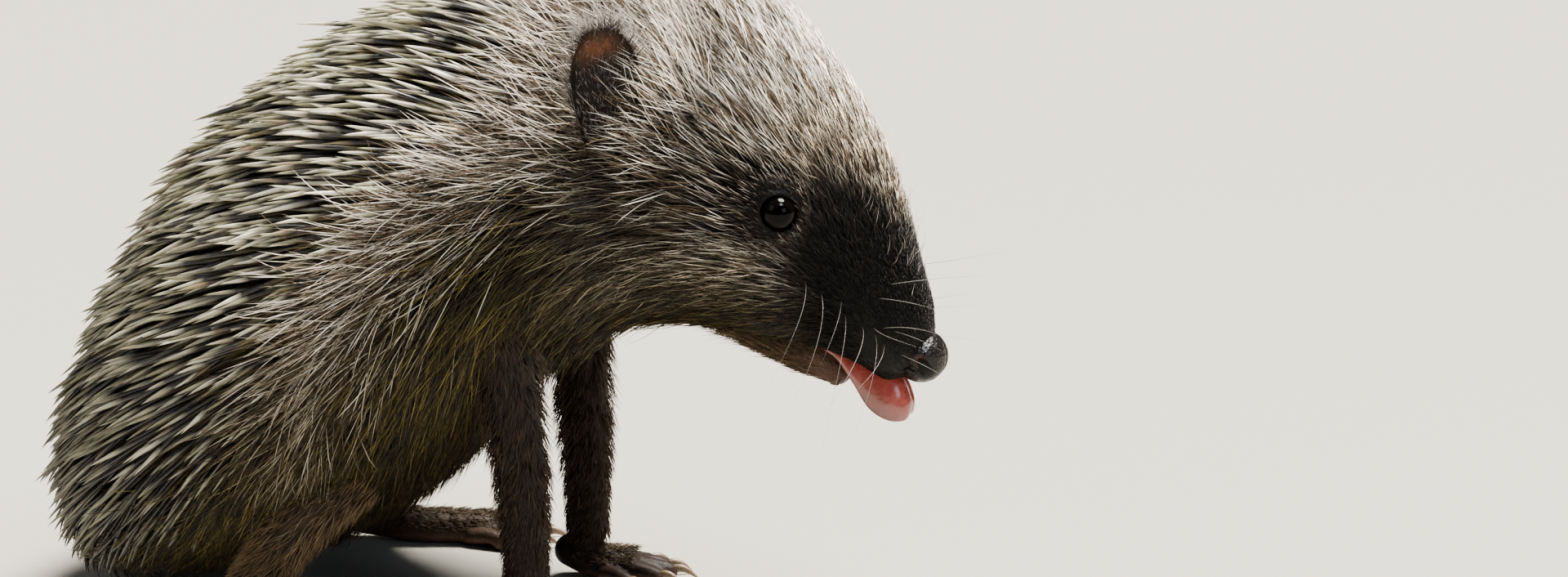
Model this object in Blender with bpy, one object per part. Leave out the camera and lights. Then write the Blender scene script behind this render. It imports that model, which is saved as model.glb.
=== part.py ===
"""A European hedgehog in life size, crouched on its hind feet with the forelegs straight
and the head lowered to lap.

Frame: metres, +Z up, +X towards the nose, +Y to the animal's left, floor at z = 0.
Every size below is in millimetres. The solids run out to the tips of the coat.
"""
import bmesh
import bpy
import numpy as np

MM = 0.001
GAP = 0.3           # clear space between two neighbouring solids
SIDES = 32          # points round a body section

# Sections of the body from tail to nose. Each lies in the plane that holds its top point,
# its bottom point and the sideways direction:
# (place, top x, top z, bottom x, bottom z, half width, how far the widest point lies low)
SECTIONS = [
    ("tail end", -68.0, 10.0, -68.0, 10.0, 0.0, 0.10),
    ("rump", -72.3, 23.0, -56.5, 3.8, 26.0, 0.12),
    ("haunch", -67.5, 41.5, -39.5, 4.5, 35.5, 0.14),
    ("loin", -57.5, 61.0, -25.0, 8.5, 39.0, 0.18),
    ("waist", -42.0, 80.0, -10.0, 17.0, 39.5, 0.18),
    ("ribs", -18.0, 96.0, 3.0, 30.0, 37.5, 0.18),
    ("shoulder", 4.0, 104.5, 11.0, 40.5, 33.5, 0.16),
    ("nape", 24.0, 107.5, 19.5, 45.5, 27.0, 0.14),
    ("skull", 40.5, 103.0, 28.5, 46.7, 22.5, 0.16),
    ("brow", 52.5, 91.0, 37.5, 46.0, 19.2, 0.22),
    ("eyes", 60.0, 79.8, 45.0, 45.0, 16.0, 0.26),
    ("bridge", 64.3, 69.6, 51.5, 44.3, 11.8, 0.26),
    ("muzzle", 67.0, 59.5, 57.5, 42.0, 8.8, 0.18),
    ("snout", 69.2, 51.0, 63.2, 39.6, 6.2, 0.10),
    ("nose end", 69.4, 44.5, 69.4, 44.5, 0.0, 0.10),
]
NECK_FROM = 6.0     # the neck starts at the shoulder section ...
HEAD_FROM = 6.8     # ... and ends just behind the ears

EYE_CENTRE = (49.4, -15.8, 67.2)
EYE_RADIUS = 2.9

EAR_ROOT = (25.0, -23.0, 78.6)
EAR_TIP = (24.6, -27.6, 97.6)
EAR_HALF_WIDTH = 5.7
EAR_DEPTH = 2.6     # how far the cup bends
EAR_THICKNESS = 1.2

NOSE_CENTRE = (68.1, 0.0, 43.4)
NOSE_RADII = (3.3, 4.1, 3.6)
NOSTRIL = (2.8, -2.1, 0.2)      # from the centre of the pad
NOSTRIL_RADII = (1.5, 0.8, 0.7)

JAW_PATH = [(42.0, 0.0, 48.5), (49.5, 0.0, 42.8), (55.0, 0.0, 39.6)]
JAW_RADII = [5.4, 4.3, 2.6]

TONGUE = np.array([
    # top x, top z, bottom x, bottom z, half width
    (50.0, 46.0, 50.0, 43.5, 2.9),
    (54.0, 45.2, 54.0, 42.4, 3.2),
    (58.0, 43.9, 56.9, 39.0, 3.6),
    (61.8, 42.3, 59.3, 34.8, 3.9),
    (64.7, 40.1, 62.2, 33.0, 3.8),
    (66.0, 37.3, 64.9, 32.9, 2.8),
    (66.3, 35.4, 66.0, 34.0, 0.8)])

TAIL_PATH = [(-56.0, 0.0, 11.0), (-66.5, 0.0, 3.2)]
TAIL_RADII = [4.0, 1.6]

# The right limbs are given; the left ones mirror them.
FORELEG = [(1.0, -21.0, 56.0), (6.5, -19.0, 42.0), (8.5, -17.0, 24.0), (9.0, -16.5, 8.0)]
FORELEG_RADII = [7.5, 5.2, 4.2, 3.6]
HINDLEG = [(-16.0, -26.0, 27.0), (-23.0, -28.0, 20.0), (-28.0, -28.5, 12.5), (-33.5, -28.5, 6.0)]
HINDLEG_RADII = [6.5, 5.4, 4.0, 3.6]

# Paws: heel x and y, outward turn in degrees, palm length, half width and height.
FOREPAW = (6.0, -16.5, -6.0, 9.0, 4.6, 7.5)
HINDFOOT = (-34.5, -28.5, -12.0, 22.0, 4.6, 7.0)
SOLE_SINK = 0.55       # the round palm is cut flat this far above its lowest point
# Toes, in the paw's own directions: root x, y, tip x, y, radius.
FORE_TOES = [(6.0, 3.6, 10.5, 6.6, 1.35), (8.5, 2.0, 14.6, 3.4, 1.5), (9.0, 0.0, 16.0, 0.0, 1.55),
             (8.5, -2.0, 14.6, -3.2, 1.5), (6.5, -3.6, 11.5, -6.2, 1.4)]
HIND_TOES = [(20.0, 3.4, 25.5, 5.8, 1.4), (22.0, 1.9, 29.6, 3.0, 1.5), (22.5, 0.0, 31.0, 0.0, 1.55),
             (22.0, -1.9, 29.4, -2.9, 1.5), (20.0, -3.4, 26.0, -5.8, 1.4)]


# --- start from an empty scene ---
for old in list(bpy.data.objects):
    bpy.data.objects.remove(old)


# --- tools ---
def material(name, colour, roughness=0.6):
    """A plain Principled material; the colour is linear RGB."""
    made = bpy.data.materials.new(name)
    made.use_nodes = True
    shader = made.node_tree.nodes["Principled BSDF"]
    shader.inputs["Base Color"].default_value = (*colour, 1.0)
    shader.inputs["Roughness"].default_value = roughness
    shader.inputs["Metallic"].default_value = 0.0
    return made


def spline(rows, at, before=None, after=None):
    """Catmull-Rom curve through the rows, read at the places at, where place i is row i.
    before and after are the rows that would follow on at either end."""
    rows = np.array(rows, float)
    before = 2 * rows[0] - rows[1] if before is None else before
    after = 2 * rows[-1] - rows[-2] if after is None else after
    padded = np.vstack([before, rows, after])
    i = np.clip(at.astype(int), 0, len(rows) - 2)
    t = (at - i)[:, None]
    a, b, c, d = (padded[i + k] for k in range(4))
    return 0.5 * (2 * b + (c - a) * t + (2 * a - 5 * b + 4 * c - d) * t ** 2
                  + (3 * b - a - 3 * c + d) * t ** 3)


def sampled(rows, count):
    """The same curve at count even steps from the first row to the last."""
    return spline(rows, np.linspace(0, len(rows) - 1, count))


def linked(name, data):
    """An object of its own for a mesh."""
    made = bpy.data.objects.new(name, data)
    bpy.context.scene.collection.objects.link(made)
    return made


def solid(name, rings, look):
    """A closed solid from rings of points (rings x points x 3), its ends filled by fans."""
    rings = np.asarray(rings, float) * MM
    sides = rings.shape[1]
    mesh = bmesh.new()
    rows = [[mesh.verts.new(p) for p in ring] for ring in rings]
    first = mesh.verts.new(rings[0].mean(0))
    last = mesh.verts.new(rings[-1].mean(0))
    for j in range(sides):
        k = (j + 1) % sides
        mesh.faces.new((first, rows[0][k], rows[0][j]))
        mesh.faces.new((last, rows[-1][j], rows[-1][k]))
        for here, there in zip(rows[:-1], rows[1:]):
            mesh.faces.new((here[j], here[k], there[k], there[j]))
    bmesh.ops.recalc_face_normals(mesh, faces=mesh.faces)
    data = bpy.data.meshes.new(name)
    mesh.to_mesh(data)
    mesh.free()
    data.shade_smooth()
    data.materials.append(look)
    return linked(name, data)


def rounded(rings, start, end, steps=3):
    """Rings with both ends domed: the end ring shrinks to a point while it moves out by
    the vector start or end, along a quarter of an ellipse."""
    angles = np.radians(np.linspace(0, 86, steps + 1)[1:])[:, None, None]

    def dome(ring, out):
        middle = ring.mean(0)
        return middle + (ring - middle) * np.cos(angles) + np.array(out) * np.sin(angles)

    return np.concatenate([dome(rings[0], start)[::-1], rings, dome(rings[-1], end)])


def tube(name, path, radii, look, count=8, sides=14, flat=1.0, steps=3):
    """A rounded tube along a smooth path; flat widens it sideways."""
    points = sampled(path, count)
    size = sampled(np.array(radii)[:, None], count)[:, :, None]
    along = np.gradient(points, axis=0)
    along /= np.linalg.norm(along, axis=1)[:, None]
    aside = np.cross(along, [0.0, 0.0, 1.0])
    aside[np.linalg.norm(aside, axis=1) < 0.2] = [0.0, -1.0, 0.0]
    aside /= np.linalg.norm(aside, axis=1)[:, None]
    over = np.cross(aside, along)
    angle = np.linspace(0, 2 * np.pi, sides, endpoint=False)[None, :, None]
    rings = points[:, None] + size * (flat * aside[:, None] * np.cos(angle)
                                      + over[:, None] * np.sin(angle))
    return solid(name, rounded(rings, -along[0] * radii[0], along[-1] * radii[-1], steps), look)


def ellipsoid(name, centre, radii, look, rings=10, sides=20):
    """A closed ellipsoid with its poles to the sides."""
    polar = np.linspace(0.06, np.pi - 0.06, rings)[:, None]
    angle = np.linspace(0, 2 * np.pi, sides, endpoint=False)[None, :]
    unit = np.stack([np.sin(polar) * np.cos(angle), np.cos(polar) + 0 * angle,
                     np.sin(polar) * np.sin(angle)], axis=2)
    return solid(name, unit * np.array(radii) + np.array(centre), look)


def grown(source):
    """A copy swollen by one gap, to cut a neighbour back with."""
    made = linked("grown", source.data.copy())
    swell = made.modifiers.new("gap", "DISPLACE")
    swell.strength = GAP * MM
    swell.mid_level = 0.0
    return made


def combine(target, others, how="DIFFERENCE"):
    """Joins the others to the target, or cuts them from it, and removes them."""
    for other in others:
        step = target.modifiers.new("step", "BOOLEAN")
        step.operation = how
        step.solver = "EXACT"
        step.object = other
        graph = bpy.context.evaluated_depsgraph_get()
        mesh = bpy.data.meshes.new_from_object(target.evaluated_get(graph))
        target.modifiers.clear()
        target.data = mesh
        bpy.data.objects.remove(other)
    clean = bmesh.new()
    clean.from_mesh(target.data)
    bmesh.ops.remove_doubles(clean, verts=clean.verts, dist=0.00001)
    bmesh.ops.dissolve_degenerate(clean, dist=0.00001, edges=clean.edges)
    clean.to_mesh(target.data)
    clean.free()


def mirrored(source, name):
    """The same solid on the other side of the body."""
    mesh = bmesh.new()
    mesh.from_mesh(source.data)
    bmesh.ops.scale(mesh, vec=(1, -1, 1), verts=mesh.verts)
    bmesh.ops.reverse_faces(mesh, faces=mesh.faces)
    data = bpy.data.meshes.new(name)
    mesh.to_mesh(data)
    mesh.free()
    data.materials.append(source.data.materials[0])
    return linked(name, data)


QUILLS = material("quills", (0.30, 0.24, 0.16))
FACE = material("face fur", (0.14, 0.11, 0.08))
DARK = material("dark fur", (0.03, 0.022, 0.018))
FUR = material("leg fur", (0.12, 0.08, 0.05))
PAWS = material("paw skin", (0.05, 0.035, 0.03), 0.5)
EYES = material("eye", (0.01, 0.009, 0.008), 0.1)
PAD = material("nose pad", (0.012, 0.011, 0.012), 0.25)
PINK = material("tongue", (0.60, 0.22, 0.20), 0.3)


# --- trunk, neck and head: one body, cut across by two thin slits ---
def body_rings(at):
    """Sections of the body at places along SECTIONS.

    Round a section the angle t runs from the top: the height goes as cos t, the width as
    sin t (1 - low cos t). Both ends close in a round: beyond the end row the curve is led
    on by the row before it, turned upside down."""
    rows = np.array([row[1:] for row in SECTIONS])
    over = [2, 3, 0, 1, 4, 5]
    sign = np.array([1, 1, 1, 1, -1, 1])
    rows = spline(rows, np.asarray(at, float), rows[1][over] * sign, rows[-2][over] * sign)
    angle = np.linspace(0, 2 * np.pi, SIDES, endpoint=False)
    top, bottom = rows[:, None, 0:2], rows[:, None, 2:4]
    height = (top + bottom) / 2 + (top - bottom) / 2 * np.cos(angle)[None, :, None]
    width = np.sin(angle) * (1 - rows[:, 5:6] * np.cos(angle))
    width = width / width.max(axis=1)[:, None] * rows[:, 4:5]
    return np.stack([height[:, :, 0], -width, height[:, :, 1]], axis=2)


def body_solid(name, start, end, look, count):
    """A length of the body between two places along SECTIONS."""
    return solid(name, body_rings(np.linspace(start, end, count)), look)


def half_slit(place):
    """How far along SECTIONS half a gap reaches where two neighbouring sections lie closest."""
    rings = body_rings([place - 0.05, place + 0.05])
    return 0.05 * GAP / np.linalg.norm(rings[1] - rings[0], axis=1).min()


BACK_END, NOSE_END = 0.06, len(SECTIONS) - 1.06
neck_slit, head_slit = half_slit(NECK_FROM), half_slit(HEAD_FROM)
trunk = body_solid("trunk", BACK_END, NECK_FROM - neck_slit, QUILLS, 22)
neck = body_solid("neck", NECK_FROM + neck_slit, HEAD_FROM - head_slit, QUILLS, 5)
head = body_solid("head", HEAD_FROM + head_slit, NOSE_END, FACE, 24)


def swollen_body():
    """The whole body and one gap more."""
    whole = body_solid("whole", BACK_END, NOSE_END, FACE, 50)
    made = grown(whole)
    bpy.data.objects.remove(whole)
    return made


# --- eyes: each a ball in a socket one gap wider ---
eye_right = ellipsoid("eye_right", EYE_CENTRE, [EYE_RADIUS] * 3, EYES)
eye_left = mirrored(eye_right, "eye_left")
combine(head, [grown(eye_right), grown(eye_left)])

# --- nose pad with two nostrils ---
nose = ellipsoid("nose", NOSE_CENTRE, NOSE_RADII, PAD)
combine(head, [grown(nose)])
for side in (1, -1):
    hole = np.array(NOSE_CENTRE) + np.array(NOSTRIL) * [1, side, 1]
    combine(nose, [ellipsoid("nostril", hole, NOSTRIL_RADII, PAD, 8, 12)])

# --- tongue: a soft flap hanging out between the lips, its sides lapping down ---
row = sampled(TONGUE, 13)[:, None]
round_it = np.linspace(0, 2 * np.pi, 16, endpoint=False)[None]
rings = np.stack([(row[..., 0] + row[..., 2]) / 2 + (row[..., 0] - row[..., 2]) / 2 * np.sin(round_it),
                  row[..., 4] * np.cos(round_it),
                  (row[..., 1] + row[..., 3]) / 2 + (row[..., 1] - row[..., 3]) / 2 * np.sin(round_it)],
                 axis=-1)
tongue = solid("tongue", rings, PINK)

# --- lower jaw, hollowed for the tongue and cut back by the head ---
lower_jaw = tube("lower_jaw", JAW_PATH, JAW_RADII, FACE, 7, 16, 1.35, 3)
combine(lower_jaw, [swollen_body(), grown(tongue)])
combine(tongue, [swollen_body(), grown(nose)])


# --- ears: rounded cups, hollow side outwards and forwards ---
def cup(name, root, tip):
    """A shell over a rounded outline. Its half width grows over the lower part and closes
    in a round at the tip; across it, from -1 to 1, the cup bends by EAR_DEPTH (1 - u^2)."""
    root, tip = np.array(root), np.array(tip)
    height = np.linalg.norm(tip - root)
    up = (tip - root) / height
    facing = np.array([0.40, -0.90, -0.1])
    facing -= up * (facing @ up)
    facing /= np.linalg.norm(facing)
    v = np.linspace(-0.2, 0.985, 10)[:, None, None]
    angle = np.linspace(0, 2 * np.pi, 22, endpoint=False)[None, :, None]
    half = np.sqrt(1 - np.clip((v - 0.42) / 0.58, 0, 1) ** 2.4)
    half = half * (0.72 + 0.28 * np.clip(v / 0.42, 0, 1))
    bend = -EAR_DEPTH * np.sin(angle) ** 2 * (1 - 0.5 * np.clip(v, 0, 1)) * half
    depth = bend + np.sin(angle) * EAR_THICKNESS / 2
    rings = (root + up * height * v + facing * depth
             + np.cross(up, facing) * EAR_HALF_WIDTH * half * np.cos(angle))
    return solid(name, rings, DARK)


ear = cup("ear_right", EAR_ROOT, EAR_TIP)
combine(ear, [swollen_body()])
mirrored(ear, "ear_left")

# --- tail, mostly under the coat of the rump ---
tail = tube("tail", TAIL_PATH, TAIL_RADII, DARK, 5, 12)
combine(tail, [swollen_body()])


# --- paws: a palm, five toes and five claws, standing on flats at z = 0 ---
def paw(name, heel_x, heel_y, turn, length, half, high, toes):
    """A right paw; x runs forwards from the heel in its own directions."""
    turn = np.radians(turn)
    ahead = np.array([np.cos(turn), np.sin(turn), 0.0])
    aside = np.array([-np.sin(turn), np.cos(turn), 0.0])

    def place(x, y, z):
        return np.array([heel_x, heel_y, 0.0]) + ahead * x + aside * y + np.array([0.0, 0.0, z])

    palm = [place(0, 0, high * 0.62), place(length / 2, 0, half * 0.66 - SOLE_SINK),
            place(length, 0, half * 0.62 - SOLE_SINK)]
    made = tube(name, palm, [half * 0.62, half * 0.66, half * 0.62], PAWS, 5, 12, 1.35)
    parts = []
    for x0, y0, x1, y1, r in toes:
        toe = [place(x0, y0, r * 1.2), place((x0 + x1) / 2, (y0 + y1) / 2, r * 1.5),
               place(x1, y1, r * 0.85)]
        parts.append(tube("toe", toe, [r * 1.1, r * 1.05, r * 0.95], PAWS, 3, 8, 1.0, 2))
        step = np.array([x1 - x0, y1 - y0]) / np.hypot(x1 - x0, y1 - y0) * r
        claw = [place(x1 + step[0] * k, y1 + step[1] * k, r * z)
                for k, z in ((0.3, 1.15), (1.6, 1.15), (2.9, 0.55))]
        parts.append(tube("claw", claw, [r * 0.50, r * 0.42, 0.28], PAWS, 3, 6, 0.8, 1))
    combine(made, parts, "UNION")
    block = bmesh.new()
    bmesh.ops.create_cube(block, size=1.0)
    bmesh.ops.translate(block, vec=(0, 0, -0.5), verts=block.verts)
    floor = bpy.data.meshes.new("floor")
    block.to_mesh(floor)
    block.free()
    combine(made, [linked("floor", floor)])
    return made


forepaw = paw("forepaw_right", *FOREPAW, FORE_TOES)
hindfoot = paw("hindfoot_right", *HINDFOOT, HIND_TOES)

# --- legs, one gap clear of the body above and of the paw below ---
foreleg = tube("foreleg_right", FORELEG, FORELEG_RADII, DARK)
combine(foreleg, [swollen_body(), grown(forepaw)])
hindleg = tube("hindleg_right", HINDLEG, HINDLEG_RADII, FUR)
combine(hindleg, [swollen_body(), grown(hindfoot)])
for right in (forepaw, hindfoot, foreleg, hindleg):
    mirrored(right, right.name.replace("right", "left"))
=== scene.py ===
import bmesh
import bpy
import numpy as np
from mathutils import Matrix


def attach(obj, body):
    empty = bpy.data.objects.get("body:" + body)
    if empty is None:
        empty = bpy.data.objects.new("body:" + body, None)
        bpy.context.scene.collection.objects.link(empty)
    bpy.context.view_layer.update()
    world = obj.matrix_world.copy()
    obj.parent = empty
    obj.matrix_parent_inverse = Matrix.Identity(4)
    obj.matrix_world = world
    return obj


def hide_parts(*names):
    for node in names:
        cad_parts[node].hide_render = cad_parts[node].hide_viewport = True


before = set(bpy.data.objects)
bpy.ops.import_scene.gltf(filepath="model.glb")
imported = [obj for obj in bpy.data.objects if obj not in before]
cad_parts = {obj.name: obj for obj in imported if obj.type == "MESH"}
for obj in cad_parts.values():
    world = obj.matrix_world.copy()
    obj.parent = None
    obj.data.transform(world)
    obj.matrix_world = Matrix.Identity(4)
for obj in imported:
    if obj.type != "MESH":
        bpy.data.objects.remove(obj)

MM = 0.001
MIRROR = np.array([1, -1, 1])  # turns a place on the right side into the one on the left
rng = np.random.default_rng(20)
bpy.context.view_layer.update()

# %% [markdown]
# ## The body's form
# The body is a loft: fifteen sections across it, each given by its top, its bottom and its
# half width, as a boat builder gives the frames of a hull. The same numbers made the
# solids, so the skin and the roots of the coat can be found from the same formula. A place
# on the body is a pair: s runs from the tail end (0) to the nose (14), and a is the angle
# from the top of the back, positive down the right side.
# %% The sections and the outer surface
SECTIONS = np.array([
    # top x, top z, bottom x, bottom z, half width, low
    (-68.0, 10.0, -68.0, 10.0, 0.0, 0.10),
    (-72.3, 23.0, -56.5, 3.8, 26.0, 0.12),
    (-67.5, 41.5, -39.5, 4.5, 35.5, 0.14),
    (-57.5, 61.0, -25.0, 8.5, 39.0, 0.18),
    (-42.0, 80.0, -10.0, 17.0, 39.5, 0.18),
    (-18.0, 96.0, 3.0, 30.0, 37.5, 0.18),
    (4.0, 104.5, 11.0, 40.5, 33.5, 0.16),
    (24.0, 107.5, 19.5, 45.5, 27.0, 0.14),
    (40.5, 103.0, 28.5, 46.7, 22.5, 0.16),
    (52.5, 91.0, 37.5, 46.0, 19.2, 0.22),
    (60.0, 79.8, 45.0, 45.0, 16.0, 0.26),
    (64.3, 69.6, 51.5, 44.3, 11.8, 0.26),
    (67.0, 59.5, 57.5, 42.0, 8.8, 0.18),
    (69.2, 51.0, 63.2, 39.6, 6.2, 0.10),
    (69.4, 44.5, 69.4, 44.5, 0.0, 0.10)])
NOSE_S = len(SECTIONS) - 1.0


def spline(rows, at, before=None, after=None):
    """Catmull-Rom curve through the rows at the places at; place i is row i. The rows
    before and after lead the curve on past its ends; by default it runs out straight."""
    rows = np.asarray(rows, float)
    before = 2 * rows[0] - rows[1] if before is None else before
    after = 2 * rows[-1] - rows[-2] if after is None else after
    rows = np.vstack([before, rows, after])
    at = np.asarray(at, float)
    i = np.clip(at.astype(int), 0, len(rows) - 4)
    t = (at - i)[..., None]
    p, q, r, u = (rows[i + k] for k in range(4))
    return 0.5 * (2 * q + (r - p) * t + (2 * p - 5 * q + 4 * r - u) * t ** 2
                  + (3 * q - p - 3 * r + u) * t ** 3)


def outer(s, a):
    """The coat's outline: the height goes from top to bottom as cos a, the width as
    sin a (1 - low cos a), scaled to the section's half width. Both ends are round,
    because the curve is led on by the row before, turned upside down."""
    s, a = np.broadcast_arrays(np.asarray(s, float), np.asarray(a, float))
    over, sign = [2, 3, 0, 1, 4, 5], np.array([1, 1, 1, 1, -1, 1])
    row = spline(SECTIONS, s, SECTIONS[1][over] * sign, SECTIONS[-2][over] * sign)
    low = row[..., 5]
    widest = (1 - np.sqrt(1 + 8 * low ** 2)) / (4 * low)
    most = np.sqrt(1 - widest ** 2) * (1 - low * widest)
    y = -np.sin(a) * (1 - low * np.cos(a)) / most * row[..., 4]
    middle, half = (row[..., 0:2] + row[..., 2:4]) / 2, (row[..., 0:2] - row[..., 2:4]) / 2
    height = middle + half * np.cos(a)[..., None]
    return np.stack([height[..., 0], y, height[..., 1]], axis=-1)


def unit(v):
    """Vectors of length one."""
    return v / np.maximum(np.linalg.norm(v, axis=-1, keepdims=True), 1e-9)


NUDGE = 1e-3  # step in s or a over which a slope is measured


def directions(s, a):
    """Outward normal of the outline: the cross product of its slopes along and around,
    measured a little before the ends, where the slope around would be nothing."""
    s = np.clip(s, 0.04, NOSE_S - 0.04)
    back = outer(s - NUDGE, a) - outer(s + NUDGE, a)
    around = outer(s, a + NUDGE) - outer(s, a - NUDGE)
    return unit(np.cross(back, around))


def ramp(x, low, high):
    """0 below low, 1 above high, and a smooth step between."""
    t = np.clip((x - low) / (high - low), 0, 1)
    return t * t * (3 - 2 * t)


print("outline at the nape:", outer(7.0, 0.0), "normal", directions(7.0, 0.0))

# %% [markdown]
# ## Where the quills end, and how deep the coat is
# A hedgehog wears its quills like a cap and cloak: they stop in a line that runs from
# above the tail, low along the flank, up behind the ear and over the crown. All else is
# hair. One function measures how far a place is inside that line, in millimetres. From it
# follow the depth of the coat, the markings and the kinds of hair, so they always agree.
# %% Quill line and coat depth
EYE = np.array([48.4, -14.75, 68.0])
EYE_OUT = unit(np.array([0.452, -0.888, 0.085]))
EYE_RADIUS = 3.1
NOSE_CENTRE, NOSE_RADII = np.array([67.2, 0.0, 43.6]), np.array([4.1, 4.4, 4.1])
QUILL_DEPTH, LID_DEPTH = 9.0, 0.5


MM_A_DEGREE, MM_A_SECTION = 0.6, 15.0  # about, round the body and along it


def inside_quills(s, a):
    """Distance in mm inside the quill line, negative outside it."""
    deg = np.degrees(np.abs(a))
    lowest = np.interp(s, [0.0, 0.45, 1.0, 2.3, 3.2, 4.0, 4.5, 4.9, 5.3, 5.8, 6.3, 6.85],
                       [30, 100, 117, 115.8, 110.3, 107, 100, 95, 92, 89, 86, 82])
    front = np.interp(deg, [0, 40, 61, 83, 120], [7.3, 7.05, 6.9, 6.85, 6.4])
    wave = 1.2 * np.sin(s * 9.0) + 0.8 * np.sin(s * 23.0 + 1.0)
    return np.minimum((lowest - deg) * MM_A_DEGREE, (front - s) * MM_A_SECTION) + wave


def to_eye(points):
    """Distance in mm to the nearer eye."""
    return np.minimum(np.linalg.norm(points - EYE, axis=-1),
                      np.linalg.norm(points * MIRROR - EYE, axis=-1))


def coat_depth(s, a):
    """How far under the outline the skin lies, in mm: the hair's depth along the body,
    less at the sides of the head, more under the quills, almost none round the eyes."""
    deg = np.degrees(np.abs(a))
    hair = np.interp(s, [0, 1, 6.5, 7.5, 8.5, 9.3, 10.2, 11.2, 12.5, 14],
                     [4.5, 5.0, 5.0, 4.6, 3.8, 2.6, 1.5, 0.8, 0.5, 0.35])
    hair = hair * (1 - 0.25 * ramp(deg, 60, 110) * ramp(s, 6.5, 7.5))
    quilled = ramp(inside_quills(s, a), -6, 9)
    deep = hair + quilled * (QUILL_DEPTH - hair) * ramp(s, 0.0, 1.2)
    bare = np.exp(-(to_eye(outer(s, a)) / 5.5) ** 2)
    return deep * (1 - bare) + LID_DEPTH * bare


def skin_at(s, a):
    """Place and normal of the skin: the outline moved inwards by the coat's depth."""
    normal = directions(s, a)
    return outer(s, a) - normal * coat_depth(s, a)[..., None], normal


def crest(s, a, s0, a0, reach_s, reach_a):
    """A round hill of height one over (s0, a0 degrees), alike on both sides."""
    return np.exp(-((s - s0) / reach_s) ** 2
                  - ((np.degrees(np.abs(a)) - a0) / reach_a) ** 2)


print("coat depth on the back %.1f, flank %.1f, brow %.1f, muzzle %.1f mm" % tuple(
    float(coat_depth(s, np.radians(d))) for s, d in ((4, 40), (4, 140), (9, 10), (12, 60))))

# %% [markdown]
# ## Colours
# Colours are noted as sRGB hex, as a painter would pick them, and turned to linear light
# by one function. Markings are weights between 0 and 1 over the body: the dark muzzle,
# the pale tan crown and brow, whose near-white tips are partly painted light, the sun on
# the top of the head, the grey-brown cheek, the olive flank and belly, the dark throat,
# the pale fringe along the quill line. Skin and hair both ask the same function.
# %% Colour table and markings


def tint(code):
    """sRGB hex to linear RGB."""
    c = np.array([int(code[i:i + 2], 16) for i in (1, 3, 5)]) / 255
    return np.where(c <= 0.04045, c / 12.92, ((c + 0.055) / 1.055) ** 2.4)


# Each pair is the hair's colour at its root and near its tip.
# The crown's and the brow's tips are paler than their own colour: partly painted light, the sun
# on the top of the head.
HAIR = {kind: (tint(root), tint(tip)) for kind, root, tip in (
    ("flank", "#120D03", "#6E6029"), ("belly", "#100B04", "#54471B"),
    ("throat", "#090604", "#564827"), ("fringe", "#1E1812", "#EEE1D3"),
    ("crown", "#1C140C", "#F8EFE4"), ("cheek", "#100B06", "#9C907C"),
    ("brow", "#140E0A", "#CDBFAA"), ("muzzle", "#050403", "#241F1B"))}


def dark_face(s, a):
    """Weight of the brown-black muzzle; its edge runs from the bridge past the front of
    the eye to the corner of the mouth."""
    deg = np.degrees(np.abs(a))
    edge = np.interp(deg, [0, 28, 48, 68, 84, 98, 109, 140, 180],
                     [11.5, 11.2, 10.35, 9.75, 9.85, 10.1, 10.7, 10.9, 10.4])
    near = np.exp(-(to_eye(outer(s, a)) / 6.0) ** 6)
    return np.maximum(ramp(s - edge, -0.45, 0.45), near)


def weights(s, a):
    """Weights of the kinds of hair, which sum to one: each takes its share of what the
    kinds before it have left, and the flank gets the rest."""
    deg = np.degrees(np.abs(a))
    face = ramp(s, 6.6, 8.0)
    fringe = ramp(inside_quills(s, a), -7, -1) * ramp(s, 3.6, 5.6)
    w, left = {}, 1.0
    for kind, share in (
            ("muzzle", dark_face(s, a)),
            ("fringe", fringe * (1 - 0.5 * ramp(s, 7.0, 7.6))),
            ("throat", ramp(s, 6.0, 7.5) * ramp(deg + 9 * (s - 8), 112, 150)),
            ("brow", ramp(s + 0.016 * deg, 9.6, 10.9)),
            ("crown", face * (1 - ramp(deg, 55, 100))),
            ("cheek", face),
            ("belly", ramp(deg, 125, 155))):
        w[kind] = left * share
        left = left - w[kind]
    w["flank"] = left
    return w


def hair_colours(s, a):
    """Root and tip colour of the hair that grows at a place."""
    w = weights(s, a)
    return tuple(sum(w[kind][..., None] * HAIR[kind][end] for kind in w) for end in (0, 1))


LIP = tint("#54382F")
SKIN = tint("#2A1F18")


def skin_colours(s, a):
    """The skin: the roots' colour darkened, near black under the quills, bare pinkish
    brown along the lips."""
    deg = np.degrees(np.abs(a))
    colour = hair_colours(s, a)[0] * 0.55
    under = ramp(inside_quills(s, a), -4, 4)[..., None]
    colour = colour * (1 - under) + SKIN * 0.5 * under
    lid = np.exp(-(to_eye(outer(s, a)) / 4.2) ** 4)[..., None]
    colour = colour * (1 - 0.6 * lid)
    lips = (ramp(deg, 148, 166) * ramp(s, 10.9, 11.5) * (1 - ramp(s, 13.0, 13.5)))[..., None]
    return colour * (1 - 0.8 * lips) + LIP * 0.8 * lips


print("kinds of hair:", ", ".join(HAIR))

# %% [markdown]
# ## Putting arrays into meshes
# Every piece below is worked out as whole arrays: points, and the corners of its faces
# one after another. Blender takes such arrays in one call each, which is far quicker than
# point by point. The colours go in with them, as an attribute that a material can read.
# %% Mesh tools


def paint(mesh, colour):
    """Gives a mesh's points the tint attribute, in linear RGB."""
    rgba = np.ones((len(mesh.vertices), 4), np.float32)
    rgba[:, :3] = colour
    layer = mesh.color_attributes.new(name="tint", type="FLOAT_COLOR", domain="POINT")
    layer.data.foreach_set("color", rgba.ravel())


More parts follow.
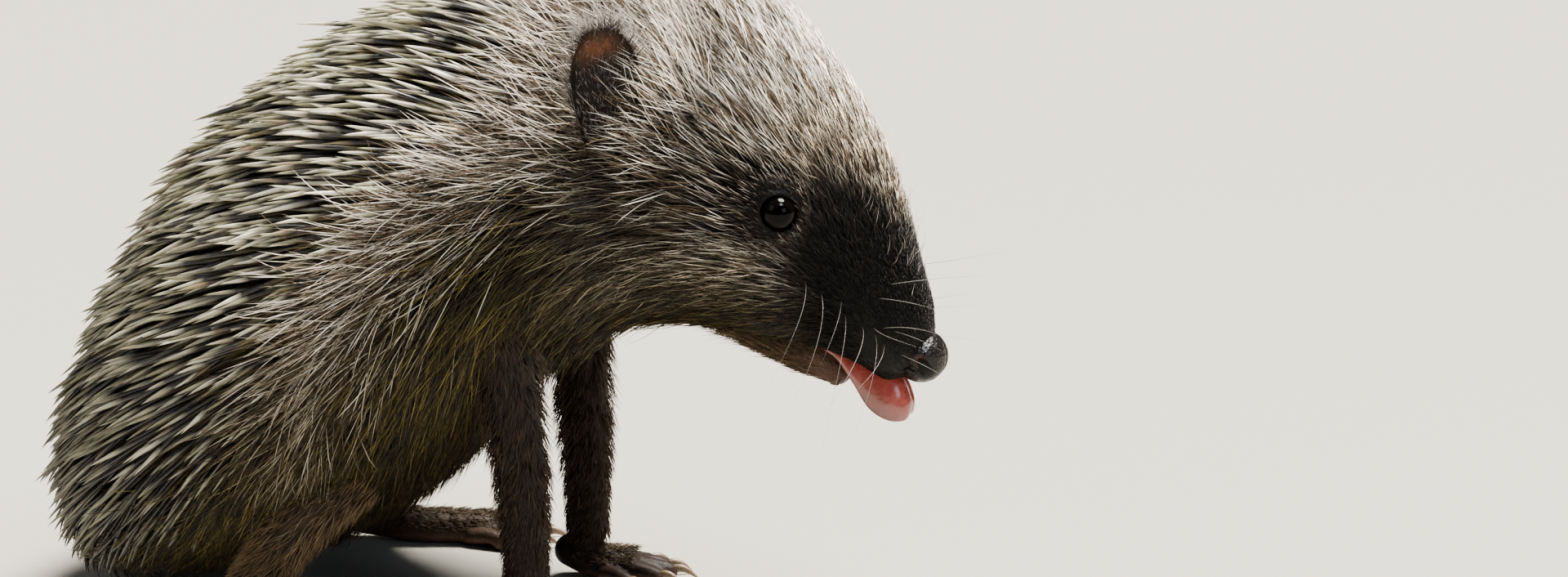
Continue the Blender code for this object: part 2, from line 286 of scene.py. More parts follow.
def make_piece(name, points, corners, starts, look, colour, uv=None):
    """A mesh object from points in mm, face corners and the first corner of each face."""
    mesh = bpy.data.meshes.new(name)
    mesh.vertices.add(len(points))
    mesh.vertices.foreach_set("co", (points * MM).astype(np.float32).ravel())
    mesh.loops.add(len(corners))
    mesh.loops.foreach_set("vertex_index", np.asarray(corners, np.int32))
    mesh.polygons.add(len(starts))
    mesh.polygons.foreach_set("loop_start", np.asarray(starts, np.int32))
    mesh.update(calc_edges=True)
    mesh.shade_smooth()
    if colour is not None:
        paint(mesh, colour)
    if uv is not None:
        mesh.uv_layers.new(name="OFBake").uv.foreach_set(
            "vector", np.asarray(uv, np.float32).ravel())
    if look is not None:
        mesh.materials.append(look)
    made = bpy.data.objects.new(name, mesh)
    bpy.context.scene.collection.objects.link(made)
    return made


print("the tint attribute holds linear RGB, the skin's is", SKIN)

# %% [markdown]
# ## Closed grids
# Most shapes here are grids that close round themselves, like a sock with both ends sewn
# up, so one function makes the faces of such a grid for all of them. A mirrored or
# twisted grid can come out inside out; its signed volume tells, and it is turned.
# %% Faces of closed grids


def grid_faces(rows, columns):
    """Corners of a rows x columns grid that closes round across its columns, and the
    first corner of each face. The first and the last row are closed by a fan to a point
    of their own, the two that follow the grid."""
    i, j = np.meshgrid(np.arange(rows - 1), np.arange(columns), indexing="ij")
    k = (j + 1) % columns
    quads = np.stack([i * columns + j, (i + 1) * columns + j,
                      (i + 1) * columns + k, i * columns + k], axis=-1).reshape(-1, 4)
    j, k, base = j[0], k[0], (rows - 1) * columns
    first, last = np.full(columns, rows * columns), np.full(columns, rows * columns + 1)
    fans = np.concatenate([np.stack([first, j, k], axis=-1),
                           np.stack([last, base + k, base + j], axis=-1)])
    sizes = np.repeat([4, 3], [len(quads), len(fans)])
    return (np.concatenate([quads.ravel(), fans.ravel()]),
            np.concatenate([[0], np.cumsum(sizes)[:-1]]))


def closed(points):
    """A grid of points (rows, columns, 3) as one list with its two end points added."""
    return np.concatenate([points.reshape(-1, 3), points[0].mean(0)[None],
                           points[-1].mean(0)[None]])


def turned_out(piece):
    """Turns a closed piece's faces outwards if its signed volume is negative."""
    shell = bmesh.new()
    shell.from_mesh(piece.data)
    inside_out = shell.calc_volume(signed=True) < 0
    shell.free()
    if inside_out:
        piece.data.flip_normals()
    return piece


def shapes(name, grids, look=None, tints=None):
    """One object from several closed grids of points, faces outwards. tints holds a grid
    of colours for each; its two end points take the colour of a point beside them."""
    points, corners, starts, first, used = [], [], [], 0, 0
    for grid in grids:
        c, f = grid_faces(*grid.shape[:2])
        points.append(closed(grid))
        corners.append(c + first)
        starts.append(f + used)
        first, used = first + len(points[-1]), used + len(c)
    if tints is not None:
        tints = np.concatenate([np.concatenate([c.reshape(-1, 3), c[0, :1], c[-1, :1]])
                                for c in tints])
    return turned_out(make_piece(name, np.concatenate(points), np.concatenate(corners),
                                 np.concatenate(starts), look, tints))


print("a closed grid of 3 x 4 points has", len(grid_faces(3, 4)[1]), "faces")

# %% [markdown]
# ## Materials
# One small function adds a node with its settings and its links, and the materials below
# are built with it alone. All that lives here has the same kind of surface: its colour
# comes with the mesh as a tint, a fine pattern makes it lighter and darker, rougher and
# smoother, and raises it. Hair and quills are keratin, tinted from root to tip.
# %% Node tool and the hair materials


def node(tree, kind, links=(), **settings):
    """Adds a node. Settings are its properties or, by name, its inputs' values; links are
    (input name, output socket) pairs."""
    made = tree.nodes.new(kind)
    for key, value in settings.items():
        if hasattr(made, key):
            setattr(made, key, value)
        else:
            made.inputs[key.replace("_", " ")].default_value = value
    for name, socket in links:
        tree.links.new(socket, made.inputs[name])
    return made


def new_material(name):
    """An empty node material, its node tree and the place on the object as a socket."""
    made = bpy.data.materials.new(name)
    made.use_nodes = True
    made.node_tree.nodes.clear()
    return made, made.node_tree, node(made.node_tree, "ShaderNodeTexCoord").outputs["Object"]


ALL, MOST = (0.3, 0.7), (0.35, 0.65)  # between these lies nearly all, or most, of a noise


def surface(tree, shade, rough, relief, **settings):
    """Joins tint, roughness and bump to the material's output. shade and rough are
    (socket, from low, from high, to low, to high): the pattern's range becomes a range
    of factors on the tint, or of roughness; without shade the tint stays as it is.
    relief is (socket, strength, height in mm, inverted); settings are the shader's."""
    colour = node(tree, "ShaderNodeAttribute", attribute_name="tint").outputs["Color"]
    shade, rough = (row and node(
        tree, "ShaderNodeMapRange", [("Value", row[0])], From_Min=row[1], From_Max=row[2],
        To_Min=row[3], To_Max=row[4]).outputs["Result"] for row in (shade, rough))
    if shade:
        colour = node(tree, "ShaderNodeVectorMath", [(0, colour), ("Scale", shade)],
                      operation="SCALE").outputs[0]
    socket, strength, height, inverted = relief
    bump = node(tree, "ShaderNodeBump", [("Height", socket)], Strength=strength,
                Distance=height * MM, invert=inverted).outputs["Normal"]
    shader = node(tree, "ShaderNodeBsdfPrincipled", [
        ("Base Color", colour), ("Roughness", rough), ("Normal", bump)], **settings)
    node(tree, "ShaderNodeOutputMaterial", [("Surface", shader.outputs[0])])


def keratin(name, roughness, grain_mm, grain_depth, change, shine):
    """Hair or quill: mottled by the product of a fine grain and 6 mm patches; the grain
    also moves the roughness and the bump. change is the most the tint is changed by."""
    made, tree, place = new_material(name)
    grain = node(tree, "ShaderNodeTexNoise", [("Vector", place)],
                 Scale=1 / (grain_mm * MM), Detail=3.0).outputs["Fac"]
    patch = node(tree, "ShaderNodeTexNoise", [("Vector", place)],
                 Scale=1 / (6.0 * MM), Detail=2.0).outputs["Fac"]
    both = node(tree, "ShaderNodeMath", [(0, grain), (1, patch)],
                operation="MULTIPLY").outputs[0]
    surface(tree, (both, 0.12, 0.38, 1 - change, 1 + change),
            (grain, *ALL, roughness - 0.08, roughness + 0.1),
            (grain, 0.35, grain_depth, False), IOR=1.55, Specular_IOR_Level=shine)
    return made


# Quills are hollow, smooth horn with a waxy shine; hair is the same stuff, thin and dull.
QUILL_HORN = keratin("quill_horn_banded", 0.34, 0.35, 0.03, 0.16, 0.55)
COARSE_HAIR = keratin("coarse_guard_hair", 0.46, 0.5, 0.02, 0.14, 0.28)
SHORT_FUR = keratin("short_face_fur", 0.42, 0.4, 0.02, 0.14, 0.14)
print("materials:", [look.name for look in (QUILL_HORN, COARSE_HAIR, SHORT_FUR)])

# %% [markdown]
# ## The skin's grid
# The skin is the outline moved inwards by the coat's depth. Rows and columns are packed
# closer round the eyes and the mouth, where folds must show, and wider on the back. Lids
# are formed on this grid: near the eye each point keeps its distance from the eye's axis
# and takes a new height above the ball, from a profile with a rolled rim and a groove.
# %% Body grid with lids, whisker pads and lip


def packed(low, high, count, density):
    """count places from low to high, as close together as the density is high."""
    x = np.linspace(low, high, 4000)
    total = np.concatenate([[0], np.cumsum(density((x[1:] + x[:-1]) / 2))])
    return np.interp(np.linspace(0, total[-1], count), total, x)


def lids(points, side):
    """Forms lids round one eye. r is the distance from the eye's axis, made shorter
    along the slit. Inside the opening the skin dives behind the ball; the rim stands
    0.3 mm proud of the ball; round it run a groove and then a low fold. From r = 3.4 to
    6 mm this profile merges into the skin's own height over the eye's centre."""
    centre, out = EYE * [1, side, 1], EYE_OUT * [1, side, 1]
    level = unit(np.cross(out, [0.5, 0.0, 1.0]))
    across = np.cross(out, level)
    v = points - centre
    height = v @ out
    u, w = v @ level, v @ across
    r = np.sqrt((u / 1.08) ** 2 + (w / 0.96) ** 2)
    opening, reach = 2.72, 6.0
    ball = np.sqrt(EYE_RADIUS ** 2 - opening ** 2)
    rim = ball + 0.28 * np.exp(-((r - opening - 0.3) / 0.36) ** 2)
    groove = -0.22 * np.exp(-((r - 3.8) / 0.4) ** 2) + 0.2 * np.exp(-((r - 4.6) / 0.5) ** 2)
    profile = rim + groove - 2.6 * ramp(opening - r, -0.02, 0.5)
    near = r < reach
    keep = np.where((height > -3) & near, 1 - ramp(r, 3.4, reach), 0.0)
    base = height * (1 - keep) + profile * keep
    base = base + groove * (1 - keep) * near * 0.8
    return points + out * (base - height)[..., None]


def flesh(s, a):
    """Place and normal of the finished skin: swollen at the whisker pads and the brow,
    hollowed along the bridge, drawn onto the nose pad at the end, with both lids."""
    points, normals = skin_at(s, a)
    swell = (0.7 * crest(s, a, 12.1, 118, 0.7, 22) - 0.35 * crest(s, a, 12.6, 0, 1.0, 16)
             + 0.5 * crest(s, a, 9.2, 66, 0.35, 12) - 0.5 * crest(s, a, 11.4, 150, 0.8, 7))
    points = points + normals * swell[..., None]
    away = (points - NOSE_CENTRE) / NOSE_RADII
    onto = NOSE_CENTRE + unit(away) * (NOSE_RADII - 0.15)
    drawn = ramp(s, 12.95, 13.8)[..., None]
    points = points * (1 - drawn) + onto * drawn
    return lids(lids(points, 1), -1), normals


POLE = 0.03  # the grid stops this far from both ends, which one point closes
rows = packed(POLE, NOSE_S - POLE, 214, lambda s: 10
              + 34 * np.exp(-((s - 9.45) / 0.5) ** 4) + 9 * ramp(s, 9.6, 10.5))[::-1]
columns = packed(-np.pi, np.pi, 221, lambda a: 1
                 + 2.3 * np.exp(-((np.degrees(np.abs(a)) - 84) / 13) ** 2)
                 + 0.9 * np.exp(-((np.degrees(np.abs(a)) - 160) / 22) ** 2))[:-1]
s_grid, a_grid = np.meshgrid(rows, columns, indexing="ij")
body_points = flesh(s_grid, a_grid)[0]
print("skin grid", s_grid.shape, "of", len(rows) * len(columns) * 2, "triangles")

# %% [markdown]
# ## Tubes
# Legs, toes, jaw, tail and claws are tubes: a smooth path, a radius along it, and domed
# ends. At each place on the path a ring is laid out on two directions across it, one level
# and one upwards, so a tube can be made wider than high.
# %% Tubes


def tube_rings(path, radii, count, sides, flat=1.0, domes=4):
    """Rings of points round a smooth path: middle + radius x (flat x aside x cos phi +
    over x sin phi). Each end shrinks along a quarter of a circle, and stops just short
    of its pole, where the end point of the closed grid follows."""
    at = np.linspace(0, len(path) - 1, count)
    middle = spline(path, at)
    size = spline(np.array(radii, float)[:, None], at)
    along = unit(np.gradient(middle, axis=0))
    aside = np.cross(along, [0.0, 0.0, 1.0])
    aside[np.linalg.norm(aside, axis=1) < 0.2] = [0.0, -1.0, 0.0]  # the path stands upright
    aside = unit(aside)
    over = np.cross(aside, along)
    turn = np.radians(np.linspace(0, 86, domes + 1)[1:])
    first = middle[0] - along[0] * size[0] * np.sin(turn[::-1])[:, None]
    last = middle[-1] + along[-1] * size[-1] * np.sin(turn)[:, None]
    centre = np.vstack([first, middle, last])
    size = np.concatenate([size[0] * np.cos(turn[::-1]), size[:, 0], size[-1] * np.cos(turn)])
    pad = ((domes, domes), (0, 0))
    aside, over = np.pad(aside, pad, "edge"), np.pad(over, pad, "edge")
    phi = np.linspace(0, 2 * np.pi, sides, endpoint=False)
    ring = (flat * aside[:, None] * np.cos(phi)[None, :, None]
            + over[:, None] * np.sin(phi)[None, :, None])
    return centre[:, None] + size[:, None, None] * ring


print("a tube of 5 rings and its domes:", tube_rings(
    [(0, 0, 0), (9, 0, 0)], [2, 1], 5, 8).shape)

# %% [markdown]
# ## Where the legs and toes are
# The forelegs stand nearly straight; the hind legs are folded and their soles lie flat on
# the floor. A leg's path runs from inside the trunk to the foot. A toe is given by its
# first and its last place on the foot, ahead and aside of the heel, and by its radius.
# %% Legs and toes in numbers
FORELEG = [(1, -21, 56), (6.5, -19, 42), (8.5, -17, 24), (9, -16.5, 8)]
FORELEG_RADII = [6.4, 4.6, 3.7, 3.2]
HINDLEG = [(-16, -21, 27), (-23, -27, 20), (-28, -28.5, 12.5), (-33.5, -28.5, 6)]
HINDLEG_RADII = [5.6, 4.5, 3.3, 3.0]
# heel x, heel y, degrees turned out, length, half width, height of the heel
FOREPAW = (6.0, -16.5, -6.0, 9.0, 4.6, 7.5)
HINDFOOT = (-34.5, -28.5, -12.0, 22.0, 4.6, 7.0)
PALM_FLAT = 1.35
FORE_TOES = [(6, 3.6, 10.5, 6.6, 1.35), (8.5, 2, 14.6, 3.4, 1.5), (9, 0, 16, 0, 1.55),
             (8.5, -2, 14.6, -3.2, 1.5), (6.5, -3.6, 11.5, -6.2, 1.4)]
HIND_TOES = [(20, 3.4, 25.5, 5.8, 1.4), (22, 1.9, 29.6, 3.0, 1.5), (22.5, 0, 31, 0, 1.55),
             (22, -1.9, 29.4, -2.9, 1.5), (20, -3.4, 26, -5.8, 1.4)]
print("toes:", len(FORE_TOES), "in front,", len(HIND_TOES), "behind")

# %% [markdown]
# ## Legs and feet
# A foot is a palm, five toes, the toes' cushions and the balls of the palm, all tubes,
# melted into one by a voxel remesh, as a modeller would blend clay. Each right limb is
# made once and mirrored later.
# %% Melt the tubes of each limb


def palm_of(heel_x, heel_y, turn, length, half, high):
    """Path and radii of a right palm, and the function that puts a place on the foot,
    x ahead of the heel, y aside and z up, onto the floor."""
    turn = np.radians(turn)
    ahead = np.array([np.cos(turn), np.sin(turn), 0.0])
    aside = np.array([-np.sin(turn), np.cos(turn), 0.0])

    def place(x, y, z):
        """The place x ahead of the heel, y aside of it and z above the floor."""
        return np.array([heel_x, heel_y, 0.0]) + ahead * x + aside * y + [0, 0, z]

    path = [place(0, 0, high * 0.58), place(length / 2, 0, half * 0.58),
            place(length, 0, half * 0.54)]
    return path, [half * 0.56, half * 0.60, half * 0.56], place


def paw_shapes(paw, toes):
    """Tubes of a right foot, and the path of each claw."""
    palm, radii, place = palm_of(*paw)
    length, half = paw[3:5]
    made, claws = [tube_rings(palm, radii, 14, 22, PALM_FLAT)], []
    for x0, y0, x1, y1, r in toes:
        toe = [place(x0, y0, r * 1.2), place((x0 + x1) / 2, (y0 + y1) / 2, r * 1.45),
               place(x1, y1, r * 0.95)]
        made.append(tube_rings(toe, [r * 0.98, r * 0.90, r * 0.93], 10, 16))
        pad = [place(x1 - 1.2, y1, r * 0.62), place(x1 + 0.2, y1, r * 0.60)]
        made.append(tube_rings(pad, [r * 0.60, r * 0.58], 4, 12, 1.2))
        step = np.array([x1 - x0, y1 - y0]) / np.hypot(x1 - x0, y1 - y0) * r
        claws.append([place(x1 + step[0] * k, y1 + step[1] * k, r * z)
                      for k, z in ((0.3, 1.15), (1.1, 1.3), (2.0, 1.0), (2.9, 0.35))])
    for k in (-0.55, 0.0, 0.55):
        pad = [place(length * 0.86, half * k, 0.95), place(length * 1.02, half * k, 0.95)]
        made.append(tube_rings(pad, [0.95, 0.9], 4, 12, 1.3))
    return made, claws


def evaluated(target):
    """Puts the result of an object's modifiers in place of its mesh."""
    graph = bpy.context.evaluated_depsgraph_get()
    mesh = bpy.data.meshes.new_from_object(target.evaluated_get(graph))
    target.modifiers.clear()
    target.data = mesh
    return target


limbs, claw_paths = [], []
for name, leg, radii, paw, toes in (
        ("fore", FORELEG, FORELEG_RADII, FOREPAW, FORE_TOES),
        ("hind", HINDLEG, HINDLEG_RADII, HINDFOOT, HIND_TOES)):
    foot, claws = paw_shapes(paw, toes)
    limb = shapes(name + "_limb", [tube_rings(leg, radii, 26, 26)] + foot)
    melt = limb.modifiers.new("melt", "REMESH")
    melt.mode, melt.voxel_size, melt.use_smooth_shade = "VOXEL", 0.5 * MM, True
    soften = limb.modifiers.new("soften", "SMOOTH")
    soften.factor, soften.iterations = 0.5, 4
    limbs.append(evaluated(limb))
    claw_paths += claws
    print(name, "limb", len(limb.data.polygons), "faces,", len(claws), "claws")

# %% [markdown]
# ## Ears, jaw and tail
# The ear is a thin cup with a rolled rim, standing up behind the cheek and nearly hidden
# by long hair. The jaw is a flattened tube under the muzzle, parted from it by the open
# mouth. The tail is a short cone below the quills of the rump.
# %% Ears, jaw and tail
EAR_ROOT, EAR_TIP = np.array([25.0, -23.0, 78.6]), np.array([24.6, -27.6, 97.6])
EAR_HALF_WIDTH, EAR_DEPTH, EAR_HALF_SHELL = 5.5, 2.6, 0.42
EAR_UP = unit(EAR_TIP - EAR_ROOT)
EAR_FACE = np.array([0.40, -0.90, -0.1])
EAR_FACE = unit(EAR_FACE - EAR_UP * (EAR_FACE @ EAR_UP))
EAR_ASIDE = np.cross(EAR_UP, EAR_FACE)
EAR_HEIGHT = float(np.linalg.norm(EAR_TIP - EAR_ROOT))


def ear_at(v, u, front):
    """A place on the ear: v from root to tip, u across from -1 to 1. The half width is
    sqrt(1 - v^2.4) over the upper part, the cup's depth 1 - u^2; the rim is rolled
    forward, and front moves from the middle of the shell to its face, in mm."""
    half = np.sqrt(1 - np.clip((v - 0.42) / 0.58, 0, 1) ** 2.4)
    half = half * (0.72 + 0.28 * np.clip(v / 0.42, 0, 1))
    bend = -EAR_DEPTH * (1 - u ** 2) * (1 - 0.4 * np.clip(v, 0, 1)) * half
    roll = 0.5 * ramp(np.abs(u), 0.8, 1.0) + 0.5 * ramp(v, 0.88, 1.0) * half
    depth = bend + roll + front
    return (EAR_ROOT + EAR_UP * (EAR_HEIGHT * v)[..., None] + EAR_FACE * depth[..., None]
            + EAR_ASIDE * (EAR_HALF_WIDTH * half * u)[..., None])


JAW = [(35, 0, 53.5), (44, 0, 47.8), (50, 0, 43.5), (54.0, 0, 40.6)]
JAW_RADII, JAW_FLAT = [6.0, 5.0, 3.7, 2.3], 1.32
TAIL, TAIL_RADII = [(-54, 0, 12), (-60, 0, 7.5), (-66.5, 0, 3.6)], [4.5, 2.9, 1.2]
angle = np.linspace(0, 2 * np.pi, 56, endpoint=False)
v, u, front = np.broadcast_arrays(np.linspace(-0.2, 0.985, 44)[:, None], np.cos(angle),
                                  EAR_HALF_SHELL * np.sin(angle))
ear = shapes("ear_cup", [ear_at(v, u, front)])
jaw = shapes("jaw_flesh", [tube_rings(JAW, JAW_RADII, 30, 40, JAW_FLAT, 8)])
tail = shapes("tail_flesh", [tube_rings(TAIL, TAIL_RADII, 24, 24)])
print("ear height %.1f mm" % EAR_HEIGHT)

# %% [markdown]
# ## Markings of the skin
# The body's points get their tint from the markings, as the hair does. Legs and feet are
# dark with lighter soles, told by the height above the floor; the ear is near black with
# a spotted red-brown patch inside its upper half, where light shines through; the lower
# jaw turns to the pinkish brown of the lips at its tip.
# %% Tint the flesh
skin = shapes("skin", [body_points], None, [skin_colours(s_grid, a_grid)])


def coords(mesh):
    """The mesh's points in mm."""
    co = np.empty(len(mesh.vertices) * 3, np.float32)
    mesh.vertices.foreach_get("co", co)
    return co.reshape(-1, 3).astype(float) / MM


for limb, leg_skin in zip(limbs, ("#1C1410", "#2C2119")):
    sole = (1 - ramp(coords(limb.data)[:, 2], 1.0, 2.4))[:, None]
    paint(limb.data, tint(leg_skin) * (1 - sole) + tint("#4A3630") * sole)

p = coords(ear.data) - EAR_ROOT
v, u = (p @ EAR_UP) / EAR_HEIGHT, (p @ EAR_ASIDE) / EAR_HALF_WIDTH
inner = ramp(p @ EAR_FACE + 1.2, -0.6, 0.4)
spots = 0.75 + 0.25 * np.sin(31 * v + 5 * u) * np.sin(17 * u - 9 * v)
patch = np.exp(-((v - 0.80) / 0.11) ** 2 - ((u + 0.1) / 0.5) ** 2) * inner * spots
patch = 0.62 * patch[:, None]
paint(ear.data, tint("#120D0A") * (1 - patch) + tint("#7C4B2C") * patch)

p = coords(jaw.data)
front = 0.4 * ramp(p[:, 0] + 0.5 * p[:, 2], 66.0, 72.0)[:, None]
paint(jaw.data, tint("#2A1E18") * (1 - front) + LIP * front)
paint(tail.data, tint("#2A2019"))
print("tinted", len(limbs) + 4, "pieces of flesh")

# %% [markdown]
# ## One skin
# All flesh is united by a Boolean into a single closed skin, so no wall is left inside
# where a leg enters the trunk. Where the Boolean made new points along a join they have
# no tint; it is filled in from their neighbours, and the join is rounded.
# %% Unite the skin


def mirrored(piece):
    """The same piece on the other side, with its faces turned back out."""
    mesh = piece.data.copy()
    co = coords(mesh) * MIRROR * MM
    mesh.vertices.foreach_set("co", co.astype(np.float32).ravel())
    mesh.flip_normals()
    made = bpy.data.objects.new(piece.name + "_left", mesh)
    bpy.context.scene.collection.objects.link(made)
    return made


parts = limbs + [ear, jaw, tail] + [mirrored(p) for p in limbs + [ear]]
for part in parts:
    unite = skin.modifiers.new("unite", "BOOLEAN")
    unite.solver, unite.operation, unite.object = "MANIFOLD", "UNION", part
evaluated(skin)
for part in parts:
    bpy.data.objects.remove(part)


def relax(piece, rounds, fill_rounds):
    """New points on the joins have no tint, black or white: they take the mean of their
    neighbours', and all points within three steps of them are moved towards the mean
    place of their own neighbours, which rounds the join."""
    mesh = piece.data
    count = len(mesh.vertices)
    edges = np.empty(len(mesh.edges) * 2, np.int32)
    mesh.edges.foreach_get("vertices", edges)
    edges = edges.reshape(-1, 2)
    layer = mesh.color_attributes["tint"]
    rgba = np.empty(count * 4, np.float32)
    layer.data.foreach_get("color", rgba)
    rgba = rgba.reshape(-1, 4).astype(float)
    fresh = (rgba[:, :3].sum(1) < 1e-6) | (rgba[:, :3].sum(1) > 2.999)

    def sums(values, mask):
        """Sum and number of each point's neighbours, of those in the mask."""
        total, n = np.zeros((count, values.shape[1])), np.zeros(count)
        for p, q in ((0, 1), (1, 0)):
            use = mask[edges[:, q]]
            np.add.at(total, edges[use, p], values[edges[use, q]])
            np.add.at(n, edges[use, p], 1)
        return total, n

    known = ~fresh
    for _ in range(fill_rounds):
        total, n = sums(rgba, known)
        take = ~known & (n > 0)
        rgba[take] = total[take] / n[take, None]
        known = known | take
    rgba[:, 3] = 1
    layer.data.foreach_set("color", rgba.astype(np.float32).ravel())
    co = coords(mesh)
    near = fresh.copy()
    for _ in range(3):
        near[edges[near[edges[:, 0]], 1]] = True
        near[edges[near[edges[:, 1]], 0]] = True
    everyone = np.ones(count, bool)
    for _ in range(rounds):
        total, n = sums(co, everyone)
        co[near] = 0.5 * co[near] + 0.5 * (total / np.maximum(n, 1)[:, None])[near]
    co[:, 2] = np.maximum(co[:, 2], 0)  # the soles lie flat on the floor
    mesh.vertices.foreach_set("co", (co * MM).astype(np.float32).ravel())
    mesh.update()
    return int(fresh.sum())


print("points on joins:", relax(skin, 6, 6))
skin.data.calc_loop_triangles()
print("skin:", len(skin.data.loop_triangles), "triangles")

# %% [markdown]
# ## Skin material
# Living skin is matt and slightly uneven. Between short flat hairs it shows as dark down,
# so a grain of 0.22 mm, stretched along the face, raises and mottles it, and pebbles of
# 0.55 mm show on the soles. Its tint comes from the same markings as the coat's.
# %% Skin look
HIDE, tree, place = new_material("hide_with_short_down")
along = node(tree, "ShaderNodeMapping", [("Vector", place)],
             Rotation=(0.0, 0.9, 0.0), Scale=(1.0, 1.0, 0.28)).outputs[0]
down = node(tree, "ShaderNodeTexNoise", [("Vector", along)],
            Scale=1 / (0.22 * MM), Detail=4.0).outputs["Fac"]
pebble = node(tree, "ShaderNodeTexVoronoi", [("Vector", place)],
              Scale=1 / (0.55 * MM)).outputs["Distance"]
relief = node(tree, "ShaderNodeMath", [(0, pebble), (1, down)], operation="ADD").outputs[0]
surface(tree, (down, *ALL, 0.55, 1.5), (down, *ALL, 0.42, 0.66),
        (relief, 0.5, 0.06, False), IOR=1.42, Specular_IOR_Level=0.14)
skin.data.materials.clear()
skin.data.materials.append(HIDE)
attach(skin, "root")
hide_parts("trunk", "neck", "head", "lower_jaw", "ear_left", "ear_right", "tail",
            "foreleg_left", "foreleg_right", "forepaw_left", "forepaw_right",
            "hindleg_left", "hindleg_right", "hindfoot_left", "hindfoot_right")

# %% [markdown]
# ## A strand
# A quill, a hair and a whisker are the same thing at three sizes: a tapered tube that
# ends in a point. All strands of a piece have the same few faces, so those are worked out
# once, for one strand, and repeated.
# %% Faces of a strand


def strand_faces(rings, sides):
    """Corners of one strand: quads between its rings, triangles to the tip, and a cap at
    the root, with for each corner its ring and its side as fractions."""
    j = np.arange(sides)
    tip = (rings - 1) * sides
    corners, sizes, ring_at, side_at = [], [], [], []
    for i in range(rings - 2):
        lower, upper = i * sides, (i + 1) * sides
        quad = np.stack([lower + j, lower + (j + 1) % sides,
                         upper + (j + 1) % sides, upper + j], axis=1)
        corners.append(quad.ravel())
        sizes += [4] * sides
        ring_at.append(np.tile([i, i, i + 1, i + 1], sides))
        side_at.append(np.stack([j, j + 1, j + 1, j], axis=1).ravel())
    base = (rings - 2) * sides
    corners.append(np.stack([base + j, base + (j + 1) % sides, np.full(sides, tip)],
                            axis=1).ravel())
    sizes += [3] * sides
    ring_at.append(np.tile([rings - 2, rings - 2, rings - 1], sides))
    side_at.append(np.stack([j, j + 1, j + 0.5], axis=1).ravel())
    corners.append(j[::-1])
    sizes.append(sides)
    ring_at.append(np.zeros(sides))
    side_at.append(j[::-1])
    return (np.concatenate(corners), np.array(sizes),
            np.concatenate(ring_at) / (rings - 1), np.concatenate(side_at) / sides)


print("a hair of 4 rings and 3 sides has", len(strand_faces(4, 3)[1]), "faces")

# %% [markdown]
# ## Growing strands
# A strand leaves the skin at an angle and leans over along the lie of the coat. The
# particle system of Blender could grow hair too, but its strands are no mesh and its
# random places can't be steered this closely, so each piece's strands are worked out
# together here. Each has a tiny patch of its own on a map of the skin, at the place of
# its root, so its colours can be kept in an image later.
# %% Grow strands as one mesh
FLOOR_GAP = 0.15  # mm that strands keep off the floor
PATCH = 0.003  # width and height of a strand's patch on the map


def grow(name, look, slot, roots, normals, flows, places, length, width, lift, colours,
         bend, sweep, stations, outline, droop=0.0, sides=3):
    """Makes one coat piece. Along a strand (t from 0 to 1) the direction stands off the
    skin by lift + bend (1/2 - t) radians and turns aside by sweep (t - 0.2); its own
    weight pulls it down by droop x length x t^2. It is as wide as width x outline.
    colours holds one colour for each station of each strand, places the roots' places
    on the map of the skin."""
    n = len(roots)
    t = np.asarray(stations, float)
    rings = len(t)
    mid = (t[1:] + t[:-1]) / 2
    length, width, lift, bend, sweep = (np.broadcast_to(x, n)[:, None] for x in (
        length, width, lift, bend, sweep))
    side = np.cross(normals, flows)
    rise = lift + bend * (0.5 - mid)
    turn = sweep * (mid - 0.2)
    ahead = (np.cos(turn)[..., None] * flows[:, None] + np.sin(turn)[..., None] * side[:, None])
    step = np.cos(rise)[..., None] * ahead + np.sin(rise)[..., None] * normals[:, None]
    path = np.cumsum(step * (length * np.diff(t))[..., None], axis=1)
    path = np.concatenate([np.zeros((n, 1, 3)), path], axis=1) + roots[:, None]
    path[..., 2] -= droop * length * t ** 2
    path[..., 2] = np.maximum(path[..., 2], FLOOR_GAP + width / 2)
    heading = unit(np.gradient(path, axis=1))
    across = unit(np.cross(heading, normals[:, None]))
    above = np.cross(across, heading)
    radius = width[..., None] / 2 * np.asarray(outline)[None, :-1, None]
    phi = np.linspace(0, 2 * np.pi, sides, endpoint=False) + np.pi / 2
    ring = (across[:, :-1, None] * np.cos(phi)[None, None, :, None]
            + above[:, :-1, None] * np.sin(phi)[None, None, :, None])
    tube = path[:, :-1, None] + radius[..., None] * ring
    points = np.concatenate([tube.reshape(n, -1, 3), path[:, -1:]], axis=1)
    shade = np.concatenate([np.repeat(colours[:, :-1], sides, axis=1), colours[:, -1:]], axis=1)
    corners, sizes, ring_at, side_at = strand_faces(rings, sides)
    each = points.shape[1]
    all_corners = (corners[None] + each * np.arange(n)[:, None]).ravel()
    all_sizes = np.tile(sizes, n)
    starts = np.concatenate([[0], np.cumsum(all_sizes)[:-1]])
    uv = places[:, None] + (np.stack([side_at, ring_at], axis=1) - 0.5) * PATCH
    made = make_piece(name, points.reshape(-1, 3), all_corners, starts, look,
                      shade.reshape(-1, 3), uv.reshape(-1, 2))
    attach(made, "root")
    print(name, n, "strands,", int((all_sizes - 2).sum()), "triangles")


def body_map(s, a):
    """Unwrap of the body: s runs across, the angle up, above the islands of the limbs."""
    return np.stack([0.01 + 0.98 * s / NOSE_S, 0.26 + 0.73 * (a + np.pi) / (2 * np.pi)], -1)


print("the nape's place on the map:", body_map(7.0, 0.0))

